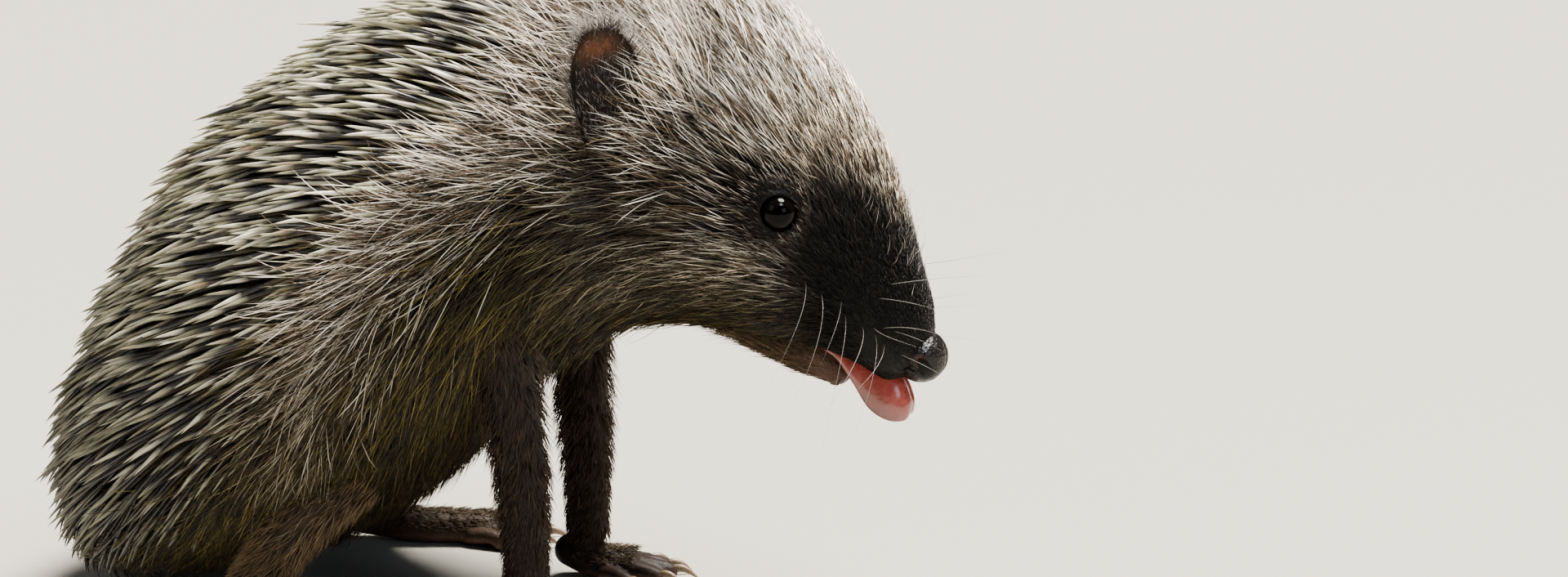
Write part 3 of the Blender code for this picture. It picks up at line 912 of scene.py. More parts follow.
# %% [markdown]
# ## The lie of the coat
# Hair and quills point away from the nose, but not simply backwards: over the shoulders
# they are swept up, on the haunch down, on the forehead they climb to the crown, and on
# the throat and belly they hang. The table gives the way they point, seen from the side,
# as degrees above the level; each is then laid flat on the skin.
# %% Direction of the hair
LIE_S = np.array([0.5, 1.5, 3.0, 4.5, 6.0, 7.0, 8.0, 9.0, 10.0, 12.0])
LIE_A = np.array([0.0, 45.0, 80.0, 110.0, 140.0, 180.0])
LIE = np.array([(-65, -62, -58, -64, -70, -70), (-55, -52, -50, -62, -72, -72),
                (-42, -38, -36, -57, -75, -75), (-24, -18, -16, -50, -74, -77),
                (-2, 6, 2, -34, -66, -77), (25, 30, 16, -12, -46, -62),
                (45, 44, 28, 2, -30, -48), (58, 50, 32, 4, -25, -40),
                (62, 58, 42, 16, -10, -20), (60, 58, 55, 45, 25, 0)], float)


def lie(s, a, normals, wander):
    """Unit directions in the skin along which the coat lies: the table's angle, read
    between its rows and columns, as a vector in the plane y = 0, laid onto the skin and
    turned in it by a random angle. wander is that angle's spread in radians."""
    deg = np.degrees(np.abs(a))
    i = np.clip(np.searchsorted(LIE_S, s) - 1, 0, len(LIE_S) - 2)
    j = np.clip(np.searchsorted(LIE_A, deg) - 1, 0, len(LIE_A) - 2)
    p = np.clip((s - LIE_S[i]) / (LIE_S[i + 1] - LIE_S[i]), 0, 1)
    q = np.clip((deg - LIE_A[j]) / (LIE_A[j + 1] - LIE_A[j]), 0, 1)
    angle = ((LIE[i, j] * (1 - q) + LIE[i, j + 1] * q) * (1 - p)
             + (LIE[i + 1, j] * (1 - q) + LIE[i + 1, j + 1] * q) * p)
    angle = np.radians(angle)
    way = np.stack([-np.cos(angle), 0 * angle, np.sin(angle)], axis=-1)
    flat = unit(way - normals * (way * normals).sum(-1)[..., None])
    turn = wander * np.clip(rng.standard_normal(len(s)), -1.8, 1.8)
    return (np.cos(turn)[:, None] * flat + np.sin(turn)[:, None] * np.cross(normals, flat))


print("degrees above the level on the shoulder: %.0f" % LIE[6, 0])

# %% [markdown]
# ## Aiming a strand
# The coat has to end at the outline, thick or thin, so each strand is aimed at it: the
# strand's own length is walked along the skin, and the tip has to meet the outline there.
# Where the coat is deep the strand stands up more, and where it is shallow it lies flat.
# %% Aim and scatter
LOWEST, HIGHEST = -0.15, 0.8  # sines of the least and the greatest lift


def aim(s, a, p, normal, flow, length, reach):
    """Lift, turn and length that bring a strand's tip to the coat's outline. The place
    (s, a) walks the strand's length along the lie in a few steps; there the outline,
    lowered by (1 - reach) of the coat's depth, is the goal. The lift is the angle off the
    skin of the straight line to it, the turn that between the normals at both ends."""
    s2, a2, e, steps = np.array(s, float), np.array(a, float), NUDGE, 4
    for _ in range(steps):
        by_s = (outer(s2 + e, a2) - outer(s2 - e, a2)) / (2 * e)
        by_a = (outer(s2, a2 + e) - outer(s2, a2 - e)) / (2 * e)
        ss, sa, aa = ((u * v).sum(-1) for u, v in ((by_s, by_s), (by_s, by_a), (by_a, by_a)))
        fs, fa = (flow * by_s).sum(-1), (flow * by_a).sum(-1)
        area = np.maximum(ss * aa - sa ** 2, 1e-3)
        ds, da = (fs * aa - fa * sa) / area, (fa * ss - fs * sa) / area
        pace = length / steps / np.maximum(
            np.linalg.norm(ds[:, None] * by_s + da[:, None] * by_a, axis=1), 0.3)
        s2 = np.clip(s2 + np.clip(ds * pace, -0.6, 0.6), 0.08, NOSE_S - 0.08)
        a2 = a2 + np.clip(da * pace, -0.5, 0.5)
    there = directions(s2, a2)
    goal = outer(s2, a2) - there * (coat_depth(s2, a2) * (1 - reach))[:, None]
    line = goal - p
    far = np.linalg.norm(line, axis=1)
    lift = np.arcsin(np.clip((line * normal).sum(1) / np.maximum(far, 1e-3),
                             LOWEST, HIGHEST))
    turn = np.arccos(np.clip((there * normal).sum(1), 0.3, 1))
    return lift, turn, np.minimum(length, far + 0.8)


def scatter(count, density, s_low, s_high):
    """Random places on the skin. The body is cut into 360 x 240 small cells; each gets
    as many roots as its area times the density says."""
    s_edge = np.linspace(s_low, s_high, 361)
    a_edge = np.linspace(-np.pi, np.pi, 241)
    s, a = np.meshgrid(s_edge, a_edge, indexing="ij")
    p = skin_at(s, a)[0]
    area = np.linalg.norm(np.cross(p[1:, :-1] - p[:-1, :-1], p[:-1, 1:] - p[:-1, :-1]), axis=-1)
    middle_s, middle_a = (s[1:, 1:] + s[:-1, :-1]) / 2, (a[1:, 1:] + a[:-1, :-1]) / 2
    weight = np.cumsum((area * density(middle_s, middle_a)).ravel())
    pick = (np.arange(count) + rng.random(count)) / count * weight[-1]
    cell = np.searchsorted(weight, pick)
    i, j = np.unravel_index(cell, area.shape)
    s = s_edge[i] + rng.random(count) * (s_edge[1] - s_edge[0])
    a = a_edge[j] + rng.random(count) * (a_edge[1] - a_edge[0])
    print("  %d roots over %.0f square mm of skin" % (count, weight[-1]))
    return s, a


def around(values, spread):
    """Values with a random part, as a fraction of each."""
    return values * (1 + spread * rng.uniform(-1, 1, len(values)))


print("lift between %.0f and %.0f degrees" % tuple(np.degrees(np.arcsin([LOWEST, HIGHEST]))))

# %% [markdown]
# ## Quills
# A quill is a horn spindle about 20 mm long and 1 mm thick, narrow at its root, with a
# needle point. Some 3000 grow in offset rows about 2 mm apart and lie back over each
# other at about 25 degrees, so that only their last third shows. Towards the quill line
# and the tail they get shorter and thinner.
# %% Quills in rows over the back
QUILL_SPACING = 1.95


def quill_rows(spacing):
    """Roots in rows across the body, half a step offset from row to row, moved a little
    at random. Rows are 0.88 of the spacing apart at 60 degrees from the top."""
    fine = np.linspace(0.06, 7.4, 1500)
    step = np.linalg.norm(np.diff(skin_at(fine, np.radians(60.0))[0], axis=0), axis=1)
    length = np.concatenate([[0], np.cumsum(step)])
    places_s, places_a = [], []
    turn = np.linspace(-np.pi, np.pi, 361)
    for k, d in enumerate(np.arange(0, length[-1], spacing * 0.88)):
        s = np.interp(d, length, fine)
        ring = skin_at(s, turn)[0]
        girth = np.concatenate([[0], np.cumsum(np.linalg.norm(np.diff(ring, axis=0), axis=1))])
        n = max(int(girth[-1] / spacing), 3)
        at = (np.arange(n) + 0.5 * (k % 2) + rng.uniform(-0.3, 0.3, n)) / n * girth[-1]
        places_a.append(np.interp(at % girth[-1], girth, turn))
        places_s.append(s + rng.uniform(-0.3, 0.3, n) * spacing / 20)
    return np.concatenate(places_s), np.concatenate(places_a)


qs, qa = quill_rows(QUILL_SPACING)
keep = inside_quills(qs, qa) > rng.uniform(-1.5, 2.5, len(qs))
qs, qa = np.clip(qs[keep], 0.05, 7.4), qa[keep]
edge = ramp(inside_quills(qs, qa), 0, 16)
q_skin, q_normal = skin_at(qs, qa)
q_flow = lie(qs, qa, q_normal, 0.11)
q_length = around(15.0 + 6.5 * edge, 0.14) * (0.72 + 0.28 * ramp(qs, 0.2, 1.4))
q_width = around(0.68 + 0.30 * edge, 0.14) * (0.82 + 0.18 * ramp(qs, 1.5, 4.0))
q_lift, q_turn, q_length = aim(qs, qa, q_skin, q_normal, q_flow, q_length, 0.95)
q_lift = q_lift + rng.normal(0, 0.05, len(qs))
print(len(qs), "quills of %.0f to %.0f mm" % (q_length.min(), q_length.max()))

# %% [markdown]
# ## Bands of the quills
# A quill is cream, painted darker where the next quills shade it, with one brown-black
# band past its middle and a pale end, ivory or a dull grey-green. Ivory ends are commoner
# on the shoulders and grey-green ones towards the rump, partly painted light and shade: the
# shoulders lit, the rump in shade. On some the point is dark too. The whole quill is
# lighter or darker than its neighbour, and painted darker towards the rear as shade.
# %% Colour and grow the quills
STATIONS = np.array([0.0, 0.25, 0.48, 0.60, 0.72, 0.82, 0.94, 1.0])
SPINDLE = np.array([0.5, 0.85, 1.0, 1.0, 0.96, 0.76, 0.32, 0.0])
# The root's cream, under the next quills, is painted dark olive brown as their shade; the same
# shaded cream dulls the ends that are not ivory.
SHADED_CREAM, IVORY, GREY_GREEN = tint("#5E563A"), tint("#F1EAD2"), tint("#807D58")
# GLINT is a painted highlight, an orange-brown glint on the edge of the band.
BAND, GLINT, TIP = tint("#120D09"), tint("#7A5230"), tint("#33241A")


def band_colours(n):
    """Colours along n quills: a cream root painted darker as the shade of the quills over it,
    a dark band between about 0.5 and 0.8 of the length, shifted from quill to quill, on
    some a painted orange-brown glint at its edge, then the pale end to a point that is
    dark on some."""
    shift = rng.normal(0, 0.045, n)[:, None]
    t = STATIONS[None]
    band = ramp(t, 0.44 + shift, 0.54 + shift) * (1 - ramp(t, 0.74 + shift, 0.83 + shift))
    # The random part is each quill's own; the ramp makes ivory ends commoner towards the
    # shoulders, as painted light.
    pale = (rng.uniform(0, 1, n) * (0.35 + 0.65 * ramp(qs, 2.0, 6.0)))[:, None, None]
    light = IVORY * pale + GREY_GREEN * (1 - pale) * 0.55 + SHADED_CREAM * (1 - pale) * 0.45
    colour = np.where((t < 0.5)[..., None], SHADED_CREAM, light)
    colour = colour * (1 - band[..., None]) + BAND * band[..., None]
    # Painted glint: on some quills the band's edge takes an orange-brown highlight.
    edge = np.exp(-((t - 0.80 - shift) / 0.05) ** 2) * (rng.random(n) < 0.15)[:, None] * 0.5
    colour = colour * (1 - edge[..., None]) + GLINT * edge[..., None]
    tip = ramp(t, 0.90, 1.0) * (rng.random(n) < 0.45)[:, None] * 0.8
    return colour * (1 - tip[..., None]) + TIP * tip[..., None]


# The random part is each quill's own tone; the ramp darkens the quills towards the rump as
# painted shade.
q_tone_and_shade = rng.uniform(0.4, 1.1, len(qs)) * (0.34 + 0.96 * ramp(qs, 1.5, 6.0))
q_colour = band_colours(len(qs)) * q_tone_and_shade[:, None, None]
order = np.argsort(qs)
for k, some in enumerate(np.array_split(order, 3)):
    grow("quills_%d" % (k + 1), QUILL_HORN, "quill_coat",
         q_skin[some] - q_normal[some] * 0.5, q_normal[some], q_flow[some],
         body_map(qs[some], qa[some]), q_length[some], q_width[some], q_lift[some],
         q_colour[some], bend=0.1 + 0.5 * q_turn[some], sweep=rng.normal(0, 0.10, len(some)),
         stations=STATIONS, outline=SPINDLE, sides=5)

# %% [markdown]
# ## Light and dark hairs
# Two things keep the coat from looking like a brush: about a third of the hairs are light
# among dark ones, near black, which are partly painted shade, the shade in the gaps between
# the light ones; and locks of them, one to three millimetres wide, are lighter or darker
# together.
# %% Colours of hairs
LOCK_WAVES = 2 * np.pi / rng.uniform(1.3, 3.2, 9)[:, None] * unit(rng.standard_normal((9, 3)))


def locks(p):
    """Slow change of lightness from lock to lock: nine waves through space, 1.3 to 3.2 mm
    long, added and scaled to a spread of about 1."""
    return np.sin(p @ LOCK_WAVES.T + np.arange(9) * 1.7).sum(-1) / np.sqrt(4.5)


def strand_colours(s, a, stations, pale, spread):
    """Colours along hairs, from a quarter to 0.85 of the length going over from the
    root's to the tip's, by the place's markings. A third of the hairs are light, more on
    the crown and the fringe; the rest are near black and stand partly for the shade in
    the gaps between the light ones, painted shade. pale from 0 to 1 mixes in the fringe's
    tip colour."""
    root, tip = hair_colours(s, a)
    t = ramp(np.asarray(stations, float), 0.25, 0.85)[None, :, None]
    w = weights(s, a)
    share = 0.30 + 0.3 * pale + 0.2 * w["crown"] + 0.15 * w["brow"] + 0.1 * w["fringe"]
    light = rng.random(len(s)) < share
    # The dark hairs, at 0.09 of their colour, are partly painted shade between the light ones.
    level = np.where(light, 1.15 - 0.2 * (w["flank"] + w["belly"]), 0.09)
    deep = 0.26 + 0.22 * (w["crown"] + w["brow"])
    level = level * np.exp(spread * rng.standard_normal(len(s)) + deep * locks(flesh(s, a)[0]))
    level = level[:, None, None]
    tip = tip * (1 - pale[:, None]) + HAIR["fringe"][1] * pale[:, None]
    warm = np.where(light[:, None], 1.0, [1.5, 1.1, 0.7])[:, None]
    return (root[:, None] * (1 - t) + tip[:, None] * t) * level * warm


print("lightness of the locks from %.1f to %.1f" % (
    locks(body_points).min(), locks(body_points).max()))

# %% [markdown]
# ## Hair on the body
# Hairs are scattered on the body and aimed at its outline, as the quills are. They are
# drawn about twice as thick as real ones, so that single hairs show. How dense, long and
# thick they are is a function of the place.
# %% Scatter hairs


def at_places(value, s, a):
    """A number for each place, from a number or from a function of the place."""
    return np.broadcast_to(value(s, a) if callable(value) else value, s.shape)


def along_body(*values):
    """A function of the place that reads between its values at s = 0, 1, 5, 7 and 8."""
    return lambda s, a: np.interp(s, [0, 1, 5, 7, 8], values)


def hair(name, look, slot, count, s_range, density, length, width, wander, pieces=1,
         pale=0.0, sunk=0.3, sweep=0.25, droop=0.0, reach=0.85, stations=(0, 0.33, 0.7, 1),
         outline=(0.8, 1, 0.7, 0), spread=0.22, stand=0.0):
    """Scatters hairs on the body, each aimed at the coat's outline and then lifted by
    stand radians more. Roots start sunk mm under the skin; a hair bends a little of
    itself and more where the body curves away under it."""
    s, a = scatter(count, density, *s_range)
    p, normal = flesh(s, a)
    flow = lie(s, a, normal, wander)
    length = around(at_places(length, s, a), 0.25)
    lift, turn, length = aim(s, a, p, normal, flow, length, reach)
    lift = np.maximum(lift, 0.04) * np.exp(0.2 * rng.standard_normal(count)) + stand
    colour = strand_colours(s, a, stations, at_places(pale, s, a), spread)
    wide = around(at_places(width, s, a), 0.25)
    twist = sweep * rng.standard_normal(count)
    order = np.argsort(s)
    for k, some in enumerate(np.array_split(order, pieces)):
        grow(name if pieces == 1 else "%s_%d" % (name, k + 1), look, slot,
             p[some] - normal[some] * sunk, normal[some], flow[some],
             body_map(s[some], a[some]), length[some], wide[some], lift[some],
             colour[some], 0.25 + 0.7 * turn[some], twist[some], stations, outline, droop)


print("a length halfway from 10 to 16 mm:", along_body(10, 16, 16, 16, 16)(0.5, 0.0))

# %% [markdown]
# ## Long hair of the flank, belly and quill line
# Below the quills hang coarse straight hairs, 8 to 20 mm long, nearly black at the root
# and olive brown towards the tip. Along the quill line they are longest and almost white
# from the middle of the flank forward, and cross each other as they lie back over the
# first quills. A tuft stands up before the ear.
# %% The trunk's hair


def ear_bare(s, a):
    """Weight of the bare place in and before the ear's opening."""
    return crest(s, a, 7.2, 70, 0.30, 15)


LONG = {"stations": (0, 0.25, 0.55, 0.82, 1), "outline": (0.8, 1, 0.95, 0.6, 0)}
hair("fringe_hair", COARSE_HAIR, "quill_coat", 5500, (0.3, 8.2),
     lambda s, a: ramp(inside_quills(s, a), -15, -4) * (1 - ramp(inside_quills(s, a), 0, 5))
     * (1 - 0.85 * ear_bare(s, a)) * (1 - 0.75 * ramp(s, 7.1, 7.7))
     * (0.2 + 0.8 * ramp(s, 2.8, 5.0)),
     along_body(10, 16, 19, 16, 12), 0.18, 0.34, pale=lambda s, a: 0.5 * ramp(s, 3.2, 5.4),
     sweep=0.35, reach=1.0, **LONG)
hair("flank_hair", COARSE_HAIR, "quill_coat", 14500, (0.2, 7.6),
     lambda s, a: (1 - ramp(inside_quills(s, a), -5, 2))
     * (1 - ramp(np.degrees(np.abs(a)), 140, 165) * 0.55) * (1 - 0.9 * ear_bare(s, a)),
     along_body(8, 13, 14, 12, 10), 0.16, 0.27, pieces=2, droop=0.06, **LONG)
hair("belly_hair", COARSE_HAIR, "quill_coat", 7200, (0.2, 8.2),
     lambda s, a: ramp(np.degrees(np.abs(a)), 110, 140),
     along_body(6, 10, 12, 10, 8), 0.20, 0.22, droop=0.08)
hair("ear_fringe", COARSE_HAIR, "face_fur", 1300, (7.4, 8.8),
     lambda s, a: crest(s, a, 8.0, 68, 0.30, 18) * (inside_quills(s, a) < -1),
     13, 0.15, 0.28, pale=0.5, sunk=0.2, sweep=0.3, reach=1.0, stand=0.5, **LONG)

# %% [markdown]
# ## Hair of the head
# On the crown and the cheeks the hair is 9 to 12 mm long; towards the bridge it shortens
# to 2 mm, round the eye too, and the muzzle wears a close brown-black down of 1 mm. The
# hairs get thinner as they get shorter, and sparser where the ear opens.
# %% Head hair and face down


def face_length(s, a):
    """Length of the head's hair in mm, short round the eye and before the ear."""
    long = np.interp(s, [6.5, 7.5, 8.5, 9.3, 10.0, 10.7, 11.5, 12.5, 14],
                     [13, 12, 11, 9.5, 7.4, 4.6, 2.2, 1.3, 0.8])
    near = to_eye(outer(s, a))
    long = long * (1 - 0.4 * crest(s, a, 8.0, 88, 0.45, 18))
    return long * (0.16 + 0.84 * ramp(near, 4.0, 10.0))


def face_width(s, a):
    """Thickness of the head's hair in mm, by its length."""
    return 0.08 + 0.0065 * face_length(s, a)


def open_eye(s, a, low=3.9, high=5.0):
    """0 over the ball and its lids, 1 further off."""
    return ramp(to_eye(outer(s, a)), low, high)


hair("head_hair", COARSE_HAIR, "face_fur", 24000, (6.8, 12.4),
     lambda s, a: ramp(s, 6.9, 7.4) * (1 - ramp(inside_quills(s, a), -3, 0))
     * (1 - 0.8 * dark_face(s, a)) * (1 - 0.9 * ear_bare(s, a)) * open_eye(s, a)
     * (1 + 1.2 * ramp(s, 8.5, 9.6)),
     face_length, face_width, 0.15, pieces=3, sunk=0.2, spread=0.28)
hair("face_down", SHORT_FUR, "dark_fur", 13000, (8.6, 13.5),
     lambda s, a: ramp(dark_face(s, a), 0.05, 0.6) * open_eye(s, a, 3.3, 3.8)
     * (1 - ramp(s, 13.1, 13.5)) * (1 + 1.5 * ramp(s, 10, 12)),
     lambda s, a: face_length(s, a) * 0.8, 0.10, 0.22, sunk=0.08, stations=(0, 0.5, 1),
     outline=(0.9, 0.9, 0), spread=0.35)

# %% [markdown]
# ## Short hair on tubes
# Legs, jaw and tail are tubes, so their hairs are scattered on the same formula as the
# surface: a place along and a place round. They are made for the right side and mirrored,
# and each part has an island of its own on the map, below the body's.
# %% Tools for short hair


def tube_place(path, radii, flat, u, phi):
    """Place, normal and lengthwise direction on a tube; u runs along it from 0 to 1."""
    at = u * (len(path) - 1)
    middle = spline(path, at)
    along = unit(spline(path, at + 0.02) - spline(path, at - 0.02))
    size = spline(np.array(radii, float)[:, None], at)
    aside = unit(np.cross(along, [0.0, 0.0, 1.0]) + [0, -1e-6, 0])
    over = np.cross(aside, along)
    ring = flat * aside * np.cos(phi)[:, None] + over * np.sin(phi)[:, None]
    return middle + size * ring, unit(ring), along


def both_sides(*arrays):
    """Right side arrays followed by their mirror images."""
    return [np.concatenate([x, x * MIRROR]) for x in arrays]


def island(start, u, v):
    """Places on a square of its own on the map, u across and v up, both from 0 to 1."""
    return np.stack([start + 0.10 * u, 0.01 + 0.10 * v], axis=-1)


def small_hair(name, slot, p, normal, flow, places, length, width, root, tip, lift=0.30,
               wander=0.25):
    """Short hairs on both sides from roots on the right side. They lie along the flow,
    turned at random, lifted by lift radians, and go from the root's to the tip's tint."""
    turn = wander * rng.standard_normal(len(p))[:, None]
    flow = unit(flow - normal * (flow * normal).sum(-1)[:, None])
    flow = np.cos(turn) * flow + np.sin(turn) * np.cross(normal, flow)
    p, normal, flow = both_sides(p, normal, flow)
    n = len(p)
    places = np.concatenate([places, places + [0.0, 0.12]])  # the left island lies above
    t = ramp(np.array([0, 0.5, 1.0]), 0.1, 0.9)[None, :, None]
    level = np.exp(0.3 * rng.standard_normal(n))[:, None, None]
    root, tip = (np.broadcast_to(c, (n // 2, 3)) for c in (root, tip))
    root, tip = np.concatenate([root, root]), np.concatenate([tip, tip])
    colour = (root[:, None] * (1 - t) + tip[:, None] * t) * level
    length = np.broadcast_to(length, n // 2)
    length = around(np.concatenate([length, length]), 0.25)
    grow(name, SHORT_FUR, slot, p - normal * 0.15, normal, flow, places, length,
         around(np.full(n, width), 0.2), lift * np.exp(0.3 * rng.standard_normal(n)), colour,
         bend=0.3, sweep=0.25 * rng.standard_normal(n), stations=(0, 0.5, 1),
         outline=(0.9, 0.85, 0))


def tube_hair(name, slot, tube, count, u_range, sector, start, length, width, root, tip,
              way=1, push=0.0, wander=0.25):
    """Hair on a tube (path, radii, flatness). It lies along the path, or against it with
    a way of -1, bent by the direction push. length is a function of the place u along
    the tube; sector is the lowest and highest angle round and what fills the island."""
    u, phi = rng.uniform(*u_range, count), rng.uniform(*sector[:2], count)
    p, normal, along = tube_place(*tube, u, phi)
    small_hair(name, slot, p, normal, way * along + push, island(start, u, phi / sector[2]),
               length(u), width, tint(root), tint(tip), wander=wander)


ROUND, ABOVE = (0, 2 * np.pi, 2 * np.pi), (0.1, np.pi - 0.1, np.pi)
BELOW = (np.pi - 0.6, 2 * np.pi + 0.6, 2 * np.pi)
print("the right hind leg's hair starts on the map at", island(0.13, 0.0, 0.0))

# %% [markdown]
# ## Hair on legs, feet, ears and jaw
# The legs' hair is about 4 mm long and gets shorter towards the foot; it is dark on the
# forelegs and brown on the hind legs. On the feet it is under 2 mm, and grows on the
# upper side only. The ear is covered by short down, a third of it inside the cup, and
# edged by longer pale hairs. The chin's beard gets shorter towards the lip.
# %% Limb, ear, jaw and tail hair
for name, slot, path, radii, count, last, start, length, root, tip in (
        ("foreleg_hair", "dark_fur", FORELEG, FORELEG_RADII, 3400, 1.02, 0.01, 4.2,
         "#100C09", "#4A3A2C"),
        ("hindleg_hair", "leg_fur", HINDLEG, HINDLEG_RADII, 2600, 1.05, 0.13, 4.4,
         "#241A12", "#7A654A")):
    tube_hair(name, slot, (path, radii, 1.0), count, (0.0, last), ROUND, start,
              lambda u: length * (1 - 0.55 * ramp(u, 0.5, 1.0)), 0.15, root, tip,
              push=np.array([-0.45, 0, -0.2]))
for name, paw, count, start in (("forefoot_hair", FOREPAW, 800, 0.25),
                                ("hindfoot_hair", HINDFOOT, 1000, 0.37)):
    tube_hair(name, "paw_skin", (*palm_of(*paw)[:2], PALM_FLAT), count, (0, 1.1), ABOVE,
              start, lambda u: 1.7, 0.12, "#17100C", "#4E4030")

count = 2300
v, u = rng.uniform(0.05, 0.97, count), rng.uniform(-0.97, 0.97, count)
front = np.where(rng.random(count) < 0.35, 1.0, -1.0)
normal = unit(EAR_FACE * front[:, None] + EAR_ASIDE * (0.5 * u)[:, None])
rim = ramp(np.maximum(np.abs(u), v), 0.75, 1.0)
small_hair("ear_hair", "dark_fur", ear_at(v, u, 0.4 * front), normal,
           EAR_UP + EAR_ASIDE * (0.6 * u)[:, None], island(0.49, (u + 1) / 2, v),
           1.5 + 2.9 * rim, 0.09, tint("#15100D"), tint("#8A8078"), lift=0.36, wander=0.4)

tube_hair("chin_hair", "face_fur", (JAW, JAW_RADII, JAW_FLAT), 1900, (0.1, 1.1), BELOW, 0.61,
          lambda u: 5.5 - 3.9 * u, 0.13, "#1C1410", "#6E5A42", way=-1, wander=0.3)
tube_hair("tail_hair", "dark_fur", (TAIL, TAIL_RADII, 1.0), 350, (0.0, 1.0), ROUND, 0.73,
          lambda u: 2.6, 0.14, "#241A12", "#7A654A")

# %% [markdown]
# ## Whiskers
# Long bristles stand out of the upper lip and hang in loose curves, some point forward
# past the nose, and short pale ones grow on the bridge. They are stiff at the root and
# taper evenly; eleven rings keep their curves smooth.
# %% Whiskers and bristles
BRISTLE = keratin("whisker_bristle", 0.34, 0.6, 0.01, 0.1, 0.5)
SMOOTH_T = np.linspace(0, 1, 11)


def bristles(name, s, a, way, length, width, bend, droop, colour, lift):
    """Whiskers at (s, a degrees) on both sides, each pointing its own way in the skin.
    The left ones mirror the right ones, but for a random part of bend and sweep."""
    a = np.radians(a)
    p, normal = flesh(s, a)
    flow = unit(way - normal * (way * normal).sum(-1)[:, None])
    p, normal, flow = both_sides(p, normal, flow)
    n = len(p)
    length, width, bend, droop, lift = (np.tile(x, 2) for x in (
        length, width, bend, droop, lift))
    level = np.interp(SMOOTH_T, [0, 0.5, 1], [0.2, 1.0, 0.6])[None, :, None]
    shade = tint(colour) * level * rng.uniform(0.7, 1.2, n)[:, None, None]
    grow(name, BRISTLE, "face_fur", p - normal * 0.2, normal, flow,
         body_map(np.tile(s, 2), np.concatenate([a, -a])), around(length, 0.1), width, lift,
         shade, bend=bend + rng.normal(0, 0.15, n), sweep=rng.normal(0, 0.35, n),
         droop=droop[:, None], stations=SMOOTH_T, outline=1 - SMOOTH_T ** 1.6 * 0.93, sides=4)


count = 7
s = np.linspace(10.4, 12.4, count) + rng.uniform(-0.1, 0.1, count)
a = rng.uniform(88, 112, count)
way = np.stack([rng.uniform(-1.0, -0.1, count), np.zeros(count),
                rng.uniform(-0.8, 0.2, count)], axis=1)
bristles("whiskers", s, a, way, rng.uniform(13, 23, count), rng.uniform(0.05, 0.075, count),
         rng.uniform(0.6, 1.6, count), rng.uniform(0.3, 0.6, count), "#86817B",
         rng.uniform(0.7, 1.2, count))
count = 6
s, a = rng.uniform(11.4, 12.9, count), rng.uniform(55, 105, count)
way = np.stack([np.ones(count), np.zeros(count), rng.uniform(-0.2, 0.9, count)], axis=1)
bristles("forward_whiskers", s, a, way, rng.uniform(9, 17, count), np.full(count, 0.08),
         rng.uniform(-0.2, 0.6, count), rng.uniform(0.0, 0.2, count), "#8C8780",
         rng.uniform(0.7, 1.1, count))
count = 34
s, a = rng.uniform(9.9, 12.6, count), rng.uniform(4, 52, count)
way = np.stack([np.full(count, -0.4), rng.uniform(-0.4, 0.4, count), np.ones(count)], axis=1)
bristles("bridge_bristles", s, a, way, rng.uniform(2.4, 5.0, count), np.full(count, 0.075),
         rng.uniform(0.2, 0.9, count), np.zeros(count), "#D8CDBB",
         rng.uniform(0.35, 0.9, count))

# %% [markdown]
# ## Eyes
# The eye is a small shining black-brown ball. The iris can hardly be told from the pupil.
# It is a ball with a slightly raised cornea, seen through the slit of the lids. Its wet
# film is nearly smooth, so it mirrors the lights as small bright spots.
# %% Eye balls


def ball_grid(rings, sides):
    """Unit directions of a ball whose poles lie on the x axis."""
    polar = np.linspace(0.03, np.pi - 0.03, rings)[:, None]
    turn = np.linspace(0, 2 * np.pi, sides, endpoint=False)[None]
    return np.stack([np.cos(polar) + 0 * turn, np.sin(polar) * np.cos(turn),
                     np.sin(polar) * np.sin(turn)], axis=-1)


WET_EYE, tree, place = new_material("wet_eye")
film = node(tree, "ShaderNodeTexNoise", [("Vector", place)], Scale=1 / (1.4 * MM),
            Detail=1.0).outputs["Fac"]
surface(tree, None, (film, *ALL, 0.03, 0.09), (film, 0.12, 0.05, False),
        IOR=1.376, Specular_IOR_Level=0.10)

# off is the angle from the eye's axis in degrees; the iris lies between 22 and 50.
grid = ball_grid(60, 72)
off = np.degrees(np.arccos(np.clip(grid[..., 0], -1, 1)))[..., None]
fibre = 1 + 0.35 * np.sin(np.arctan2(grid[..., 2], grid[..., 1]) * 31)[..., None]
iris = ramp(off, 22, 27) * (1 - ramp(off, 44, 50))
colour = tint("#020101") * (1 - iris) + tint("#050303") * iris * fibre
cornea = 1 + 0.05 * ramp(grid[..., 0], 0.55, 0.95)
local = grid * (EYE_RADIUS * cornea)[..., None]
for side, name in ((1, "eye_right"), (-1, "eye_left")):
    outward = EYE_OUT * [1, side, 1]
    level = unit(np.cross(outward, [0, 0, 1.0]))
    above = np.cross(level, outward)
    p = (EYE * [1, side, 1] + local[..., 0:1] * outward + local[..., 1:2] * level
         + local[..., 2:3] * above)
    ball = shapes(name + "_ball", [p], WET_EYE, [colour])
    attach(ball, "root")
    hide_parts(name)
print("eye balls of %.1f mm" % (2 * EYE_RADIUS))

